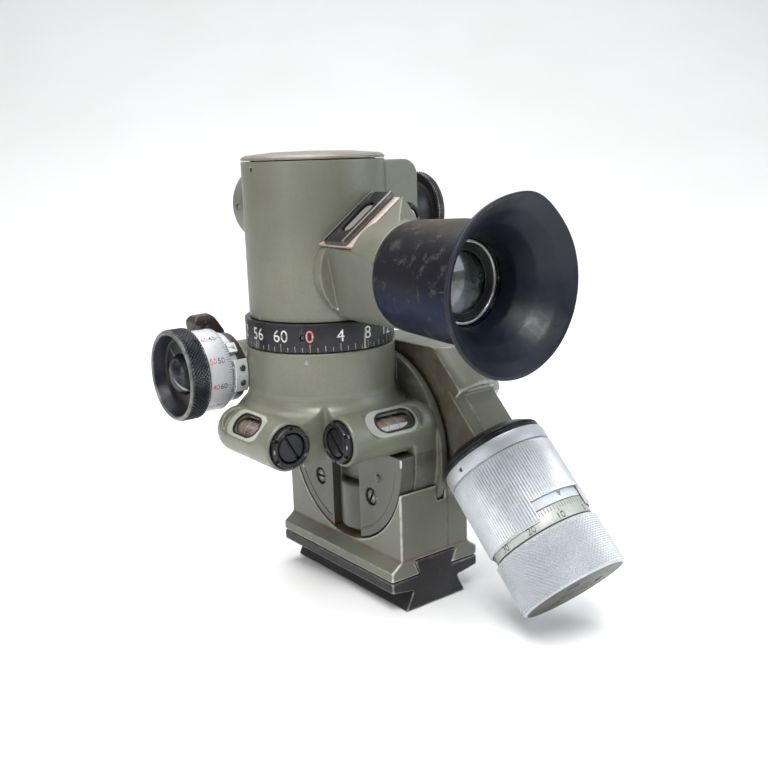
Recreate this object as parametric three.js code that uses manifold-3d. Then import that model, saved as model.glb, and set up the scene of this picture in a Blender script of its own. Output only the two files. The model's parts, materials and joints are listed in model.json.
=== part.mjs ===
// Periscopic sighting telescope on a dovetail foot.
// Millimetres, +Z up, +Y is the line of sight, +X is the gunner's right hand.
// The origin is the middle of the dovetail's bottom face.

import * as THREE from 'three';
import { mergeVertices } from 'three/addons/utils/BufferGeometryUtils.js';
import Module from 'manifold-3d';

const wasm = await Module();
wasm.setup();

// ---------- driving dimensions ----------

const GAP = 0.3;                    // clearance between neighbouring pieces
const COARSE = 24;                  // sides of small round pieces
const MEDIUM = 36;
const FINE = 48;

// foot and base block
const FOOT_LENGTH = 71;
const FOOT_WIDTH = 40.6;
const DOVETAIL_HEIGHT = 7.3;
const DOVETAIL_BOTTOM = 28.2;
const DOVETAIL_TOP = 20.6;
const PLATE_BOTTOM_Z = 8.6;
const PLATE_TOP_Z = 12.7;
const RAIL_TOP_Z = 18.2;
const RAIL_NECK = 14.7;
const RAIL_TOP = 19.6;
const FLANGE_TOP_Z = 16.3;
const BLOCK_WIDTH = 32;
const BLOCK_FOOT_Z = 19.4;
const BLOCK_TOP_Z = 44.6;

// tilting joint, axis along X
const TILT_Y = -1.7;
const TILT_Z = 54.7;
const JOURNAL_R = 34;
const SEAM_X = 4.6;                 // where the sight body meets the fixed cheek
const SEAM_DISC_R = 36.4;
const LIP_R = 39.4;
const LIP_X = 5.9;
const CHEEK_X0 = 6.2;
const CHEEK_X1 = 22.8;
const CHEEK_R = 37.4;

// elevation drive, in the cheek
const WORM_OFFSET = 35;             // worm axis to tilt axis
const DRUM_X = 15.8;
const DRUM_LEAN = 3 * Math.PI / 4;  // turns +Z to the drum axis, down and to the rear
const WHEEL_R = 29.6;
const WORM_R = 5;
const WORM_SHAFT_R = 4.2;
const ARM_R = 15;
const ARM_TOP_Z = 93.6;
const NECK_START = 11.7;            // stations along the drum axis, from the worm's middle
const NECK_END = 27.8;
const SLEEVE_START = 33;
const SLEEVE_END = 65;
const INDEX_START = 58;
const INDEX_END = 61.5;
const SCALE_END = 67.6;
const KNOB_END = 87;
const DRUM_R = 19.6;
const SCALE_R = 18.4;

// azimuth axis and the rotating head
const TUBE_X = -21.2;
const TUBE_Y = 1.8;
const TUBE_R = 25;
const COLLAR_R = 26.8;
const COLLAR_TOP_Z = 96.2;
const RING_BOTTOM_Z = 96.6;
const RING_TOP_Z = 106.3;
const RING_SCREW_AZIMUTH = 47.4;
const TUBE_TOP_Z = 159.8;
const TUBE_BORE_R = 22;
const SPIGOT_R = 17;
const SPIGOT_BORE_R = 14;
const SPIGOT_Z = 81;
const OBJECTIVE_Z = 144.3;
const OBJECTIVE_R = 14.6;
const OBJECTIVE_Y = 33;
const EYEPIECE_Z = 123.6;
const EYEPIECE_TWIST = 36;          // degrees, turn of the square block about the eyepiece axis
const BLOCK_HALF = 14.4;            // shoe seat, from the eyepiece axis
const SEAT_REAR_Y = -41;
const BLOCK_REAR_Y = -54.2;
const BLOCK_NECK_R = 17.3;
const RELIEF_X = -7.8;              // the relieved left side, at the azimuth axis
const RELIEF_FLARE = -0.14;
const RELIEF_LEAN = -0.18;
const BLOCK_BORE_R = 8.6;
const BARREL_Y = -54.5;
const BARREL_END_Y = -84;
const EYECUP_Y = -98.4;
const EYECUP_R = 26.2;
const HEAD_KNOB_Z = 139.8;
const HEAD_KNOB_R = 14.6;
const HOUSING_X = 37.2;

// azimuth micrometer, axis along X, in the frame of the azimuth axis
const MICRO_Y = 25;
const MICRO_Z = 86.3;
const MICRO_R = 16.6;
const MICRO_OUTER_X = -48.3;
const MICRO_KNURL_X = -39.8;
const MICRO_INNER_X = -31.2;
const MICRO_DRUM_R = 14.9;
const BUSH_X = -27.6;
const AZIMUTH_WHEEL_R = 20.2;
const AZIMUTH_WORM_R = 4.5;

// level housings, in the frame of the azimuth axis
const LEVEL_Z = 66.9;
const LEVEL_R = 8.6;
const LEVEL_BORE_R = 5.2;
const LEVEL_CAP_R = 7.1;
const LEVEL_OFFSET = 30.2;
const LEFT_LEVEL_Y = [-23, 14];
const CROSS_LEVEL_X = [-14.6, 23.4];
const SPOT_DEPTH = 6.4;             // flat of the window pocket, from the level's axis
const SPOT_R = 6.6;
const LEFT_SPOT = { middle: -3.6, half: 5.6, window: -4, windowHalf: 3.4, windowR: 3.8 };
const CROSS_SPOT = { middle: 4.55, half: 5.4, window: 5.8, windowHalf: 4.2, windowR: 3.7 };

// ---------- finishes ----------

function finish(color, roughness, metalness) {
  return new THREE.MeshStandardMaterial({ color, roughness, metalness });
}

const PAINT = () => finish(0x83866f, 0.55, 0.1);
const BLACKENED = () => finish(0x2a2b2e, 0.45, 0.6);
const SATIN = () => finish(0xc4cbd0, 0.4, 0.8);
const RUBBER = () => finish(0x15181d, 0.6, 0.0);
const GLASS = () => finish(0x5c7480, 0.05, 0.0);
const BRONZE = () => finish(0xa07b3c, 0.4, 0.9);
const STEEL = () => finish(0x8f9396, 0.35, 0.9);
const WHITE = () => finish(0xe8e6df, 0.5, 0.0);
const RESIN = () => finish(0x3a2a24, 0.5, 0.0);

// ---------- geometry helpers ----------

// three.js geometry to a manifold-3d solid
function solid(geometry) {
  geometry.deleteAttribute('normal');
  geometry.deleteAttribute('uv');
  const merged = mergeVertices(geometry, 1e-4);
  const vertProperties = new Float32Array(merged.attributes.position.array);
  const triVerts = new Uint32Array(merged.index.array);
  return new wasm.Manifold(new wasm.Mesh({ numProp: 3, vertProperties, triVerts }));
}

// manifold-3d solid back to three.js geometry
function toGeometry(body) {
  const mesh = body.asOriginal().simplify(0.01).getMesh();
  const geometry = new THREE.BufferGeometry();
  const positions = Float32Array.from(mesh.vertProperties);
  geometry.setAttribute('position', new THREE.BufferAttribute(positions, 3));
  geometry.setIndex(new THREE.BufferAttribute(Uint32Array.from(mesh.triVerts), 1));
  return geometry;
}

const join = (...bodies) => bodies.reduce((a, b) => a.add(b));
const cut = (body, ...tools) => tools.reduce((a, b) => a.subtract(b), body);

// turns a geometry made along +Y (lathe, cylinder) to the named axis
function alignRound(geometry, axis) {
  if (axis === 'x') geometry.rotateZ(-Math.PI / 2);
  if (axis === 'z') geometry.rotateX(Math.PI / 2);
  return geometry;
}

// moves a round piece so that its axis passes through the two other coordinates
function centre(geometry, axis, [u, v]) {
  if (axis === 'x') geometry.translate(0, u, v);
  if (axis === 'y') geometry.translate(u, 0, v);
  if (axis === 'z') geometry.translate(u, v, 0);
  return geometry;
}

// cylinder or cone between stations a and b on an axis
function rod(axis, at, r, a, b, sides = MEDIUM, r2 = r) {
  const geometry = new THREE.CylinderGeometry(r2, r, b - a, sides);
  geometry.translate(0, (a + b) / 2, 0);
  return solid(centre(alignRound(geometry, axis), axis, at));
}

// body of revolution from [radius, station] points; it starts and ends on the axis or closes on itself
function turned(axis, at, profile, sides = FINE) {
  const points = profile.map(([r, s]) => new THREE.Vector2(r, s));
  const geometry = new THREE.LatheGeometry(points, sides);
  const body = solid(centre(alignRound(geometry, axis), axis, at));
  return body;
}

// ring with a square section
function ring(axis, at, rIn, rOut, a, b, sides = FINE) {
  return cut(rod(axis, at, rOut, a, b, sides), rod(axis, at, rIn, a - 1, b + 1, sides));
}

function box([x0, x1], [y0, y1], [z0, z1]) {
  const geometry = new THREE.BoxGeometry(x1 - x0, y1 - y0, z1 - z0);
  geometry.translate((x0 + x1) / 2, (y0 + y1) / 2, (z0 + z1) / 2);
  return solid(geometry);
}

// outline extruded along an axis; points are [y, z] for x, [x, z] for y and [x, y] for z
function prism(axis, points, a, b) {
  const pairs = axis === 'y' ? points.map(([x, z]) => [z, x]) : points;
  const shape = new THREE.Shape(pairs.map(([u, v]) => new THREE.Vector2(u, v)));
  const geometry = new THREE.ExtrudeGeometry(shape, { depth: b - a, bevelEnabled: false });
  geometry.translate(0, 0, a);
  const m = new THREE.Matrix4();
  if (axis === 'x') m.set(0, 0, 1, 0, 1, 0, 0, 0, 0, 1, 0, 0, 0, 0, 0, 1);
  if (axis === 'y') m.set(0, 1, 0, 0, 0, 0, 1, 0, 1, 0, 0, 0, 0, 0, 0, 1);
  geometry.applyMatrix4(m);
  return solid(geometry);
}

// outline of the trunk: half a circle about the tilt axis with straight sides above it
function journalOutline(r, topZ, y = TILT_Y, z = TILT_Z, sides = FINE / 2) {
  const points = [[y + r, topZ], [y - r, topZ]];
  for (let i = 0; i <= sides; i += 1) {
    const a = Math.PI + Math.PI * i / sides;
    points.push([y + r * Math.cos(a), z + r * Math.sin(a)]);
  }
  return points;
}

function add(group, name, body, material) {
  const mesh = new THREE.Mesh(toGeometry(body), material);
  mesh.name = name;
  group.add(mesh);
}

// ---------- frames ----------

const root = new THREE.Group();
const base = new THREE.Group();
root.add(base);

// everything that tilts is drawn from the azimuth axis
const sight = new THREE.Group();
sight.position.set(TUBE_X, TUBE_Y, 0);
root.add(sight);
const SIGHT_TILT_Y = TILT_Y - TUBE_Y;
const TRUNK_X0 = -15.5 - TUBE_X;
const TRUNK_X1 = SEAM_X - TUBE_X - GAP;

// the drum frame: +Z runs along the drum axis, origin in the middle of the worm
const drum = new THREE.Group();
drum.position.set(
  DRUM_X,
  TILT_Y - WORM_OFFSET * Math.SQRT1_2,
  TILT_Z + WORM_OFFSET * Math.SQRT1_2,
);
drum.rotation.set(DRUM_LEAN, 0, 0);
drum.updateMatrix();
root.add(drum);

function fromDrumFrame(body) {
  return solid(toGeometry(body).applyMatrix4(drum.matrix));
}

// ---------- base ----------

function dovetail(bottomWidth, topWidth, z0, z1) {
  const outline = [
    [-bottomWidth / 2, z0], [bottomWidth / 2, z0], [topWidth / 2, z1], [-topWidth / 2, z1],
  ];
  return prism('y', outline, -FOOT_LENGTH / 2, FOOT_LENGTH / 2);
}

function adapterPlate() {
  const half = FOOT_WIDTH / 2;
  const plate = prism('y', [
    [-half, PLATE_BOTTOM_Z], [-half + 8, DOVETAIL_HEIGHT],
    [half - 8, DOVETAIL_HEIGHT], [half, PLATE_BOTTOM_Z],
    [half, PLATE_TOP_Z - GAP], [-half, PLATE_TOP_Z - GAP],
  ], -FOOT_LENGTH / 2, FOOT_LENGTH / 2);
  const lower = dovetail(DOVETAIL_BOTTOM, DOVETAIL_TOP, 0, DOVETAIL_HEIGHT + 0.2);
  const upper = dovetail(RAIL_NECK, RAIL_TOP, PLATE_TOP_Z - GAP - 0.2, RAIL_TOP_Z);
  const holes = [-22, 22].map((y) => rod('z', [0, y], 3.4, -1, RAIL_TOP_Z + 1, COARSE));
  return cut(join(plate, lower, upper), ...holes);
}

function adapterScrew(y) {
  const shank = rod('z', [0, y], 3, 1.5, RAIL_TOP_Z - 1, COARSE);
  return cut(shank, box([-0.6, 0.6], [y - 4, y + 4], [0, 2.6]));
}

// the space that the drum turns in
function drumRoom() {
  return fromDrumFrame(rod('z', [0, 0], DRUM_R + 0.9, NECK_END, KNOB_END + 5, FINE));
}

// the cast block, its cheek, the worm arm and the square neck are one piece
function baseHousing() {
  const halfFoot = FOOT_WIDTH / 2;
  const half = BLOCK_WIDTH / 2;
  const block = prism('y', [
    [-halfFoot, PLATE_TOP_Z], [halfFoot, PLATE_TOP_Z], [halfFoot, FLANGE_TOP_Z], [half, BLOCK_FOOT_Z],
    [half, BLOCK_TOP_Z], [-half, BLOCK_TOP_Z], [-half, BLOCK_FOOT_Z], [-halfFoot, FLANGE_TOP_Z],
  ], -FOOT_LENGTH / 2, FOOT_LENGTH / 2);
  const slot = prism('y', [
    [-RAIL_NECK / 2 - GAP, PLATE_TOP_Z - 1], [RAIL_NECK / 2 + GAP, PLATE_TOP_Z - 1],
    [RAIL_NECK / 2 + GAP, PLATE_TOP_Z], [RAIL_TOP / 2 + GAP, RAIL_TOP_Z + GAP],
    [-RAIL_TOP / 2 - GAP, RAIL_TOP_Z + GAP], [-RAIL_NECK / 2 - GAP, PLATE_TOP_Z],
  ], -FOOT_LENGTH, FOOT_LENGTH);
  const trough = rod('x', [TILT_Y, TILT_Z], JOURNAL_R + 0.6, -30, SEAM_X + 0.3, FINE);
  const cheek = rod('x', [TILT_Y, TILT_Z], CHEEK_R, CHEEK_X0, CHEEK_X1, FINE);
  const reach = FOOT_LENGTH / 2;
  const web = box([CHEEK_X0, half], [-reach, reach], [BLOCK_TOP_Z - 4, BLOCK_TOP_Z + 8]);
  const lip = cut(
    ring('x', [TILT_Y, TILT_Z], SEAM_DISC_R + 0.5, LIP_R, LIP_X, CHEEK_X0 + 1, FINE),
    prism('x', [[-15, 0], [100, 0], [100, 150], [-15, 150]], -20, 30),
    box([-20, 30], [-60, 60], [0, BLOCK_TOP_Z + 4]),
  );
  const armSides = FINE;
  const arm = cut(
    fromDrumFrame(rod('z', [0, 0], ARM_R, -36, NECK_START, armSides)),
    box([-60, CHEEK_X0], [-100, 100], [-20, 150]),
    box([-60, 60], [-100, 100], [ARM_TOP_Z, 150]),
  );
  const c = 3;
  const w = 10;
  const neck = fromDrumFrame(prism('z', [
    [-w + c, -w], [w - c, -w], [w, -w + c], [w, w - c],
    [w - c, w], [-w + c, w], [-w, w - c], [-w, -w + c],
  ], NECK_START - 4, NECK_END));
  const discRoomX = SEAM_X - GAP - 3.4;
  const discRoom = rod('x', [TILT_Y, TILT_Z], SEAM_DISC_R + 0.6, discRoomX, SEAM_X + 0.3, FINE);
  const casting = cut(join(block, cheek, web, lip), drumRoom());
  const chamber = rod('x', [TILT_Y, TILT_Z], WHEEL_R + 1.6, CHEEK_X0 + 3, CHEEK_X1 + 1, FINE);
  const shaftHole = rod('x', [TILT_Y, TILT_Z], 12.6, -10, 20, MEDIUM);
  const wormBore = fromDrumFrame(rod('z', [0, 0], WORM_R + 1.4, -11.8, NECK_END + 1, COARSE));
  return cut(join(casting, arm, neck), slot, trough, discRoom, chamber, shaftHole, wormBore);
}

function gearCover() {
  const profile = [
    [0, 0], [CHEEK_R - 3, 0], [CHEEK_R - 1, 1], [CHEEK_R - 1, 2], [CHEEK_R - 3, 3.4], [0, 3.4],
  ];
  const disc = turned('x', [0, 0], profile);
  const placed = disc.translate([CHEEK_X1 + GAP, TILT_Y, TILT_Z]);
  const armRoom = fromDrumFrame(rod('z', [0, 0], ARM_R + 0.8, -60, NECK_END, MEDIUM));
  const below = box([0, 60], [-60, 60], [0, BLOCK_FOOT_Z + 1]);
  const holes = COVER_SCREWS.map(([y, z]) => rod('x', [y, z], 2.9, 10, 40, COARSE));
  return cut(placed, armRoom, drumRoom(), below, ...holes);
}

const COVER_SCREWS = [
  [TILT_Y + 26, TILT_Z + 20],
  [TILT_Y + 28, TILT_Z - 16],
  [TILT_Y - 28, TILT_Z - 16],
];

function coverScrew([y, z]) {
  const head = rod('x', [y, z], 2.5, CHEEK_X1 + 0.6, CHEEK_X1 + 3.4, COARSE);
  return cut(head, box([CHEEK_X1 + 2.4, CHEEK_X1 + 5], [y - 4, y + 4], [z - 0.4, z + 0.4]));
}

function wormShaftBush() {
  return ring('z', [0, 0], WORM_SHAFT_R + 0.1, WORM_R + 1.1, 14, NECK_END - 1, COARSE);
}

// ---------- elevation drum, in the drum frame ----------

function drumFlange() {
  const bevel = turned('z', [0, 0], [
    [7.5, NECK_END + GAP], [15.5, NECK_END + GAP], [19, NECK_END + 3], [19, SLEEVE_START - GAP],
    [7.5, SLEEVE_START - GAP], [7.5, NECK_END + GAP],
  ]);
  return bevel;
}

function drumHub() {
  const tube = ring('z', [0, 0], 5, 7.2, NECK_END + GAP, INDEX_START, MEDIUM);
  const web = ring('z', [0, 0], 6, SCALE_R, INDEX_START - 1, INDEX_END, FINE);
  return join(tube, web);
}

function selectorSleeve() {
  const shell = turned('z', [0, 0], [
    [8, SLEEVE_START], [DRUM_R - 0.6, SLEEVE_START], [DRUM_R, SLEEVE_START + 0.6],
    [DRUM_R, SLEEVE_END], [SCALE_R + 0.4, SLEEVE_END], [SCALE_R + 0.4, SLEEVE_START + 2.5],
    [8, SLEEVE_START + 2.5], [8, SLEEVE_START],
  ]);
  const outline = [[0, 0], [19.7, 34.8], [0, 60], [-24.4, 31.7]];
  const window = prism('z', outline, INDEX_START, SLEEVE_END + 2);
  return cut(shell, window);
}

function elevationScale() {
  return ring('z', [0, 0], 4.6, SCALE_R, INDEX_END + GAP, SCALE_END, FINE);
}

function elevationKnob() {
  const body = turned('z', [0, 0], [
    [0, SCALE_END + GAP], [DRUM_R - 1, SCALE_END + GAP], [DRUM_R - 0.1, SCALE_END + 1.2],
    [DRUM_R - 0.1, KNOB_END - 0.8], [DRUM_R - 0.9, KNOB_END], [0, KNOB_END],
  ]);
  const holes = [90, 210, 330].map((deg) => {
    const a = deg * Math.PI / 180;
    return rod('z', [10 * Math.cos(a), 10 * Math.sin(a)], 1.8, KNOB_END - 6, KNOB_END + 1, 16);
  });
  return cut(body, ...holes);
}

function elevationWorm() {
  return turned('z', [0, 0], [
    [0, -11.4], [2.6, -11.4], [2.6, -8], [WORM_R, -8], [WORM_R, 9],
    [WORM_SHAFT_R, 10], [WORM_SHAFT_R, SCALE_END], [0, SCALE_END],
  ], MEDIUM);
}

// ---------- sight body, in the frame of the azimuth axis ----------

function levelHousing(axis, at, a, b) {
  return turned(axis, at, [
    [0, a], [LEVEL_R, a], [LEVEL_R, b - 4], [LEVEL_R - 1.2, b - 1.2], [LEVEL_R - 4, b], [0, b],
  ], MEDIUM);
}

// slot with round ends, lying along X, from depth z0 upwards
function stadium(middle, half, r, z0) {
  return join(
    box([middle - half, middle + half], [-r, r], [z0, 14]),
    rod('z', [middle - half, 0], r, z0, 14, COARSE),
    rod('z', [middle + half, 0], r, z0, 14, COARSE),
  );
}

// spot-faced pocket on the 45 degree shoulder of a level housing, and the slot window in it
function levelPocket(axis, spot) {
  const pocket = stadium(spot.middle, spot.half, SPOT_R, SPOT_DEPTH);
  const window = stadium(spot.window, spot.windowHalf, spot.windowR, 0);
  const tool = toGeometry(join(pocket, window));
  if (axis === 'y') {
    tool.rotateX(-Math.PI / 4);
    tool.rotateZ(Math.PI / 2);
    tool.translate(-LEVEL_OFFSET, 0, LEVEL_Z);
  } else {
    tool.rotateX(Math.PI / 4);
    tool.translate(0, -LEVEL_OFFSET, LEVEL_Z);
  }
  return solid(tool);
}

function sightBody() {
  const collar = rod('z', [0, 0], COLLAR_R, 62, COLLAR_TOP_Z, FINE);
  const left = levelHousing('y', [-LEVEL_OFFSET, LEVEL_Z], LEFT_LEVEL_Y[0], LEFT_LEVEL_Y[1]);
  const cross = levelHousing('x', [-LEVEL_OFFSET, LEVEL_Z], CROSS_LEVEL_X[0], CROSS_LEVEL_X[1]);
  const edge = -LEVEL_OFFSET;
  const outline = [
    [edge, LEFT_LEVEL_Y[1] - 2], [edge, LEFT_LEVEL_Y[0]], [-22, -22.7], [CROSS_LEVEL_X[0], -22.7],
    [CROSS_LEVEL_X[0], edge], [20, edge], [TRUNK_X1 - 1, -20], [TRUNK_X1 - 1, 18], [8, 26], [-14, 26],
  ];
  const platform = prism('z', outline, 59.4, 74.4);
  const fillet = turned('z', [0, 0], [
    [24.6, 73], [33, 73], [33, 74.4], [29.6, 75.6], [27.6, 77.6],
    [COLLAR_R, 80.4], [24.6, 80.4], [24.6, 73],
  ]).intersect(prism('z', outline, 60, 85));
  const trunk = prism('x', journalOutline(JOURNAL_R, 66, SIGHT_TILT_Y), TRUNK_X0 + 6.6, TRUNK_X1);
  const disc = rod('x', [SIGHT_TILT_Y, TILT_Z], SEAM_DISC_R, TRUNK_X1 - 3, TRUNK_X1, FINE);
  const wormCase = rod('x', [MICRO_Y, MICRO_Z], 9, -22, 17, MEDIUM);
  const pockets = [levelPocket('y', LEFT_SPOT), levelPocket('x', CROSS_SPOT)];
  const shell = join(cut(join(left, cross, platform, fillet), ...pockets), collar);
  const at = [-LEVEL_OFFSET, LEVEL_Z];
  const [leftY, leftEnd] = LEFT_LEVEL_Y;
  const [crossX, crossEnd] = CROSS_LEVEL_X;
  const bores = [
    rod('y', at, LEVEL_BORE_R, leftY - 1, leftEnd - 4, COARSE),
    rod('x', at, LEVEL_BORE_R, crossX - 1, crossEnd - 4, COARSE),
    rod('y', at, LEVEL_CAP_R + 0.3, leftY - 1, leftY + 2.4, COARSE),
    rod('x', at, LEVEL_CAP_R + 0.3, crossX - 1, crossX + 2.4, COARSE),
    rod('z', [0, 0], AZIMUTH_WHEEL_R + 0.8, 79, 91, FINE),
    rod('z', [0, 0], 20.2, 90, COLLAR_TOP_Z + 1, FINE),
    rod('x', [MICRO_Y, MICRO_Z], 5.4, -40, 13, COARSE),
    rod('x', [SIGHT_TILT_Y, TILT_Z], 12.9, TRUNK_X1, TRUNK_X1 + 20, MEDIUM),
  ];
  const well = rod('z', [0, 0], SPIGOT_BORE_R, 62, 80, MEDIUM);
  return cut(join(shell, trunk, disc, wormCase), ...bores, well);
}

// round cover on the gunner's left, with a vertical channel and a half-round boss in it
function journalCover() {
  const x0 = TRUNK_X0;
  const plate = prism('x', journalOutline(JOURNAL_R, 57.9, SIGHT_TILT_Y), x0, x0 + 6.3);
  const channel = box([x0 - 1, x0 + 4.2], [SIGHT_TILT_Y - 9, SIGHT_TILT_Y + 8], [15, 70]);
  const boss = rod('z', [x0 + 9, SIGHT_TILT_Y - 0.5], 8, TILT_Z - JOURNAL_R + 2.4, 41.5, MEDIUM);
  const inside = box([x0 + 0.6, x0 + 5], [-40, 40], [10, 70]);
  const holes = JOURNAL_SCREWS.map((y) => rod('x', [y, JOURNAL_SCREW_Z], 3.3, x0 - 1, x0 + 5, COARSE));
  return cut(join(cut(plate, channel), boss.intersect(inside)), ...holes);
}

const JOURNAL_SCREW_Z = 39.7;
const JOURNAL_SCREWS = [SIGHT_TILT_Y - 16.1, SIGHT_TILT_Y + 16.1];

function journalScrew(y) {
  const x0 = TRUNK_X0 + 0.4;
  const head = rod('x', [y, JOURNAL_SCREW_Z], 3, x0, x0 + 3.6, COARSE);
  const slot = box([x0 - 1, x0 + 0.9], [y - 0.5, y + 0.5], [JOURNAL_SCREW_Z - 4, JOURNAL_SCREW_Z + 4]);
  return cut(head, slot);
}

function levelCap(axis, a) {
  const at = [-LEVEL_OFFSET, LEVEL_Z];
  const rim = ring(axis, at, 5.3, LEVEL_CAP_R, a - 2.2, a + 2, MEDIUM);
  const notches = [0, 90, 180, 270].map((deg) => {
    const r = (deg + 30) * Math.PI / 180;
    const u = at[0] + 6.6 * Math.cos(r);
    const v = at[1] + 6.6 * Math.sin(r);
    return rod(axis, [u, v], 0.9, a - 3, a - 1, 8);
  });
  return cut(rim, ...notches);
}

function levelPlug(axis, a) {
  const at = [-LEVEL_OFFSET, LEVEL_Z];
  const plug = rod(axis, at, 4.9, a - 1.6, a + 4, MEDIUM);
  const slot = axis === 'y'
    ? box([-LEVEL_OFFSET - 0.6, -LEVEL_OFFSET + 0.6], [a - 3, a - 0.4], [LEVEL_Z - 8, LEVEL_Z + 8])
    : box([a - 3, a - 0.4], [-LEVEL_OFFSET - 0.6, -LEVEL_OFFSET + 0.6], [LEVEL_Z - 8, LEVEL_Z + 8]);
  return cut(plug, slot);
}

function levelVial(axis, a, b) {
  const at = [-LEVEL_OFFSET, LEVEL_Z];
  return turned(axis, at, [
    [0, a + 5], [3.4, a + 5], [4.8, a + 6.4], [4.8, b - 6.4], [3.4, b - 5], [0, b - 5],
  ], COARSE);
}

// ---------- rotating head, in the frame of the azimuth axis ----------

function headTube() {
  const tube = ring('z', [0, 0], TUBE_BORE_R, TUBE_R, RING_TOP_Z + GAP, TUBE_TOP_Z, FINE);
  const floor = ring('z', [0, 0], SPIGOT_BORE_R, TUBE_R, RING_TOP_Z + GAP, RING_TOP_Z + 3.2, FINE);
  const spigot = ring('z', [0, 0], SPIGOT_BORE_R, SPIGOT_R, SPIGOT_Z, RING_TOP_Z + 1, FINE);
  return cut(
    join(tube, floor, spigot),
    rod('y', [0, OBJECTIVE_Z], 12.4, 10, 40, MEDIUM),
    rod('y', [0, EYEPIECE_Z], 12.4, -40, -10, MEDIUM),
    rod('x', [0, HEAD_KNOB_Z], 6.3, 10, 40, COARSE),
    rod('x', [0, TUBE_TOP_Z - 2.6], 0.9, -30, -20, 12),
  );
}

// the space taken by the tube and the azimuth ring
function tubeRoom() {
  const ringRoom = rod('z', [0, 0], COLLAR_R + GAP, 90, RING_TOP_Z + GAP, FINE);
  return join(rod('z', [0, 0], TUBE_R + GAP, 100, 180, FINE), ringRoom);
}

function headCap() {
  return turned('z', [0, 0], [
    [0, TUBE_TOP_Z - 3], [TUBE_BORE_R - 0.4, TUBE_TOP_Z - 3], [TUBE_BORE_R - 0.4, TUBE_TOP_Z + GAP],
    [TUBE_R, TUBE_TOP_Z + GAP], [TUBE_R, TUBE_TOP_Z + 1], [TUBE_R - 1.6, TUBE_TOP_Z + 2],
    [14, TUBE_TOP_Z + 2.9], [0, TUBE_TOP_Z + 3.2],
  ]);
}

// a small radial screw, or its hole, in the azimuth ring
function ringRadial(r, a, b) {
  const turn = (-90 - RING_SCREW_AZIMUTH) * Math.PI / 180;
  return solid(toGeometry(rod('x', [0, 0], r, a, b, 12)).rotateZ(turn).translate(0, 0, 101.8));
}

function azimuthRing() {
  const body = ring('z', [0, 0], SPIGOT_R + GAP, COLLAR_R, RING_BOTTOM_Z, RING_TOP_Z, FINE);
  return cut(body, ringRadial(1, COLLAR_R - 4, COLLAR_R + 2));
}

function ringSetScrew() {
  return ringRadial(0.7, COLLAR_R - 3.7, COLLAR_R - 0.6);
}

function objectiveBarrel() {
  const outer = turned('y', [0, OBJECTIVE_Z], [
    [10.8, 12], [OBJECTIVE_R, 12], [OBJECTIVE_R, OBJECTIVE_Y - 0.6], [OBJECTIVE_R - 0.6, OBJECTIVE_Y],
    [12.6, OBJECTIVE_Y], [11.6, OBJECTIVE_Y - 2], [10.8, OBJECTIVE_Y - 2], [10.8, 12],
  ], FINE);
  const spigot = ring('y', [0, OBJECTIVE_Z], 10.8, 12, 16, 28, FINE);
  const setHole = rod('x', [28.6, OBJECTIVE_Z - 0.5], 1.2, -18, -11.5, 12);
  return cut(join(cut(outer, tubeRoom()), spigot), setHole);
}

function lens(axis, at, r, station, bulge, edge, sides = MEDIUM) {
  return turned(axis, at, [
    [0, station - edge - bulge], [r * 0.6, station - edge - bulge * 0.6], [r, station - edge],
    [r, station + edge], [r * 0.6, station + edge + bulge * 0.6], [0, station + edge + bulge],
  ], sides);
}

// round neck of the eyepiece, thickened to a flat seat on the upper left and relieved on the left
function eyepieceBlock() {
  const corner = prism('z', [
    [-6, -12], [-6, -52], [6.6, -52], [19.8, SEAT_REAR_Y], [19.8, -12],
  ], -2, BLOCK_HALF + 1.4);
  const neck = rod('y', [0, EYEPIECE_Z], BLOCK_NECK_R, BLOCK_REAR_Y, -12, FINE);
  const block = join(neck, onUpperLeftFace(corner));
  const aboveSeat = onUpperLeftFace(box([-40, 40], [SEAT_REAR_Y, 0], [BLOCK_HALF, 40]));
  const leftSide = prism('y', [[-60, -60], [0, -60], [0, 60], [-60, 60]], -90, 0);
  const relief = toGeometry(leftSide);
  relief.rotateZ(RELIEF_FLARE);
  relief.rotateY(RELIEF_LEAN);
  relief.translate(RELIEF_X, 0, EYEPIECE_Z);
  const flange = rod('y', [0.5, EYEPIECE_Z - 0.5], 16.1, -24.6, -12, MEDIUM);
  const spigot = rod('y', [0, EYEPIECE_Z], 12, -24, -15, MEDIUM);
  const bore = rod('y', [0, EYEPIECE_Z], BLOCK_BORE_R, -60, 0, MEDIUM);
  const shaped = join(cut(block, aboveSeat, solid(relief)), cut(flange, aboveSeat));
  return cut(join(cut(shaped, tubeRoom()), spigot), bore).asOriginal().simplify(0.03);
}

// lamp shoe: a flat dovetail frame on the block's upper left face, with a slot window
function onUpperLeftFace(body) {
  const geometry = toGeometry(body);
  geometry.rotateY(-EYEPIECE_TWIST * Math.PI / 180);
  geometry.translate(0, 0, EYEPIECE_Z);
  return solid(geometry);
}

const SHOE = {
  along: [-5.5, 19.5],
  y: [-37, -25.6],
  pad: [BLOCK_HALF + GAP, BLOCK_HALF + 1.2],
  top: BLOCK_HALF + 3,
};

function shoePad() {
  return cut(onUpperLeftFace(box([-5.6, 19], [SEAT_REAR_Y + 1, -14], SHOE.pad)), tubeRoom());
}

function lampShoe() {
  const frame = box(SHOE.along, SHOE.y, [SHOE.pad[1] + GAP, SHOE.top]);
  const [from, to] = SHOE.along;
  const window = box([from + 5, to - 5], [-34, -28.6], [BLOCK_HALF, SHOE.top + 1]);
  return onUpperLeftFace(cut(frame, window));
}

function shoeWindow() {
  return onUpperLeftFace(box(
    [SHOE.along[0] + 5.3, SHOE.along[1] - 5.3], [-33.7, -28.9], [SHOE.pad[1] + GAP, SHOE.top - 0.5],
  ));
}

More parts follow.
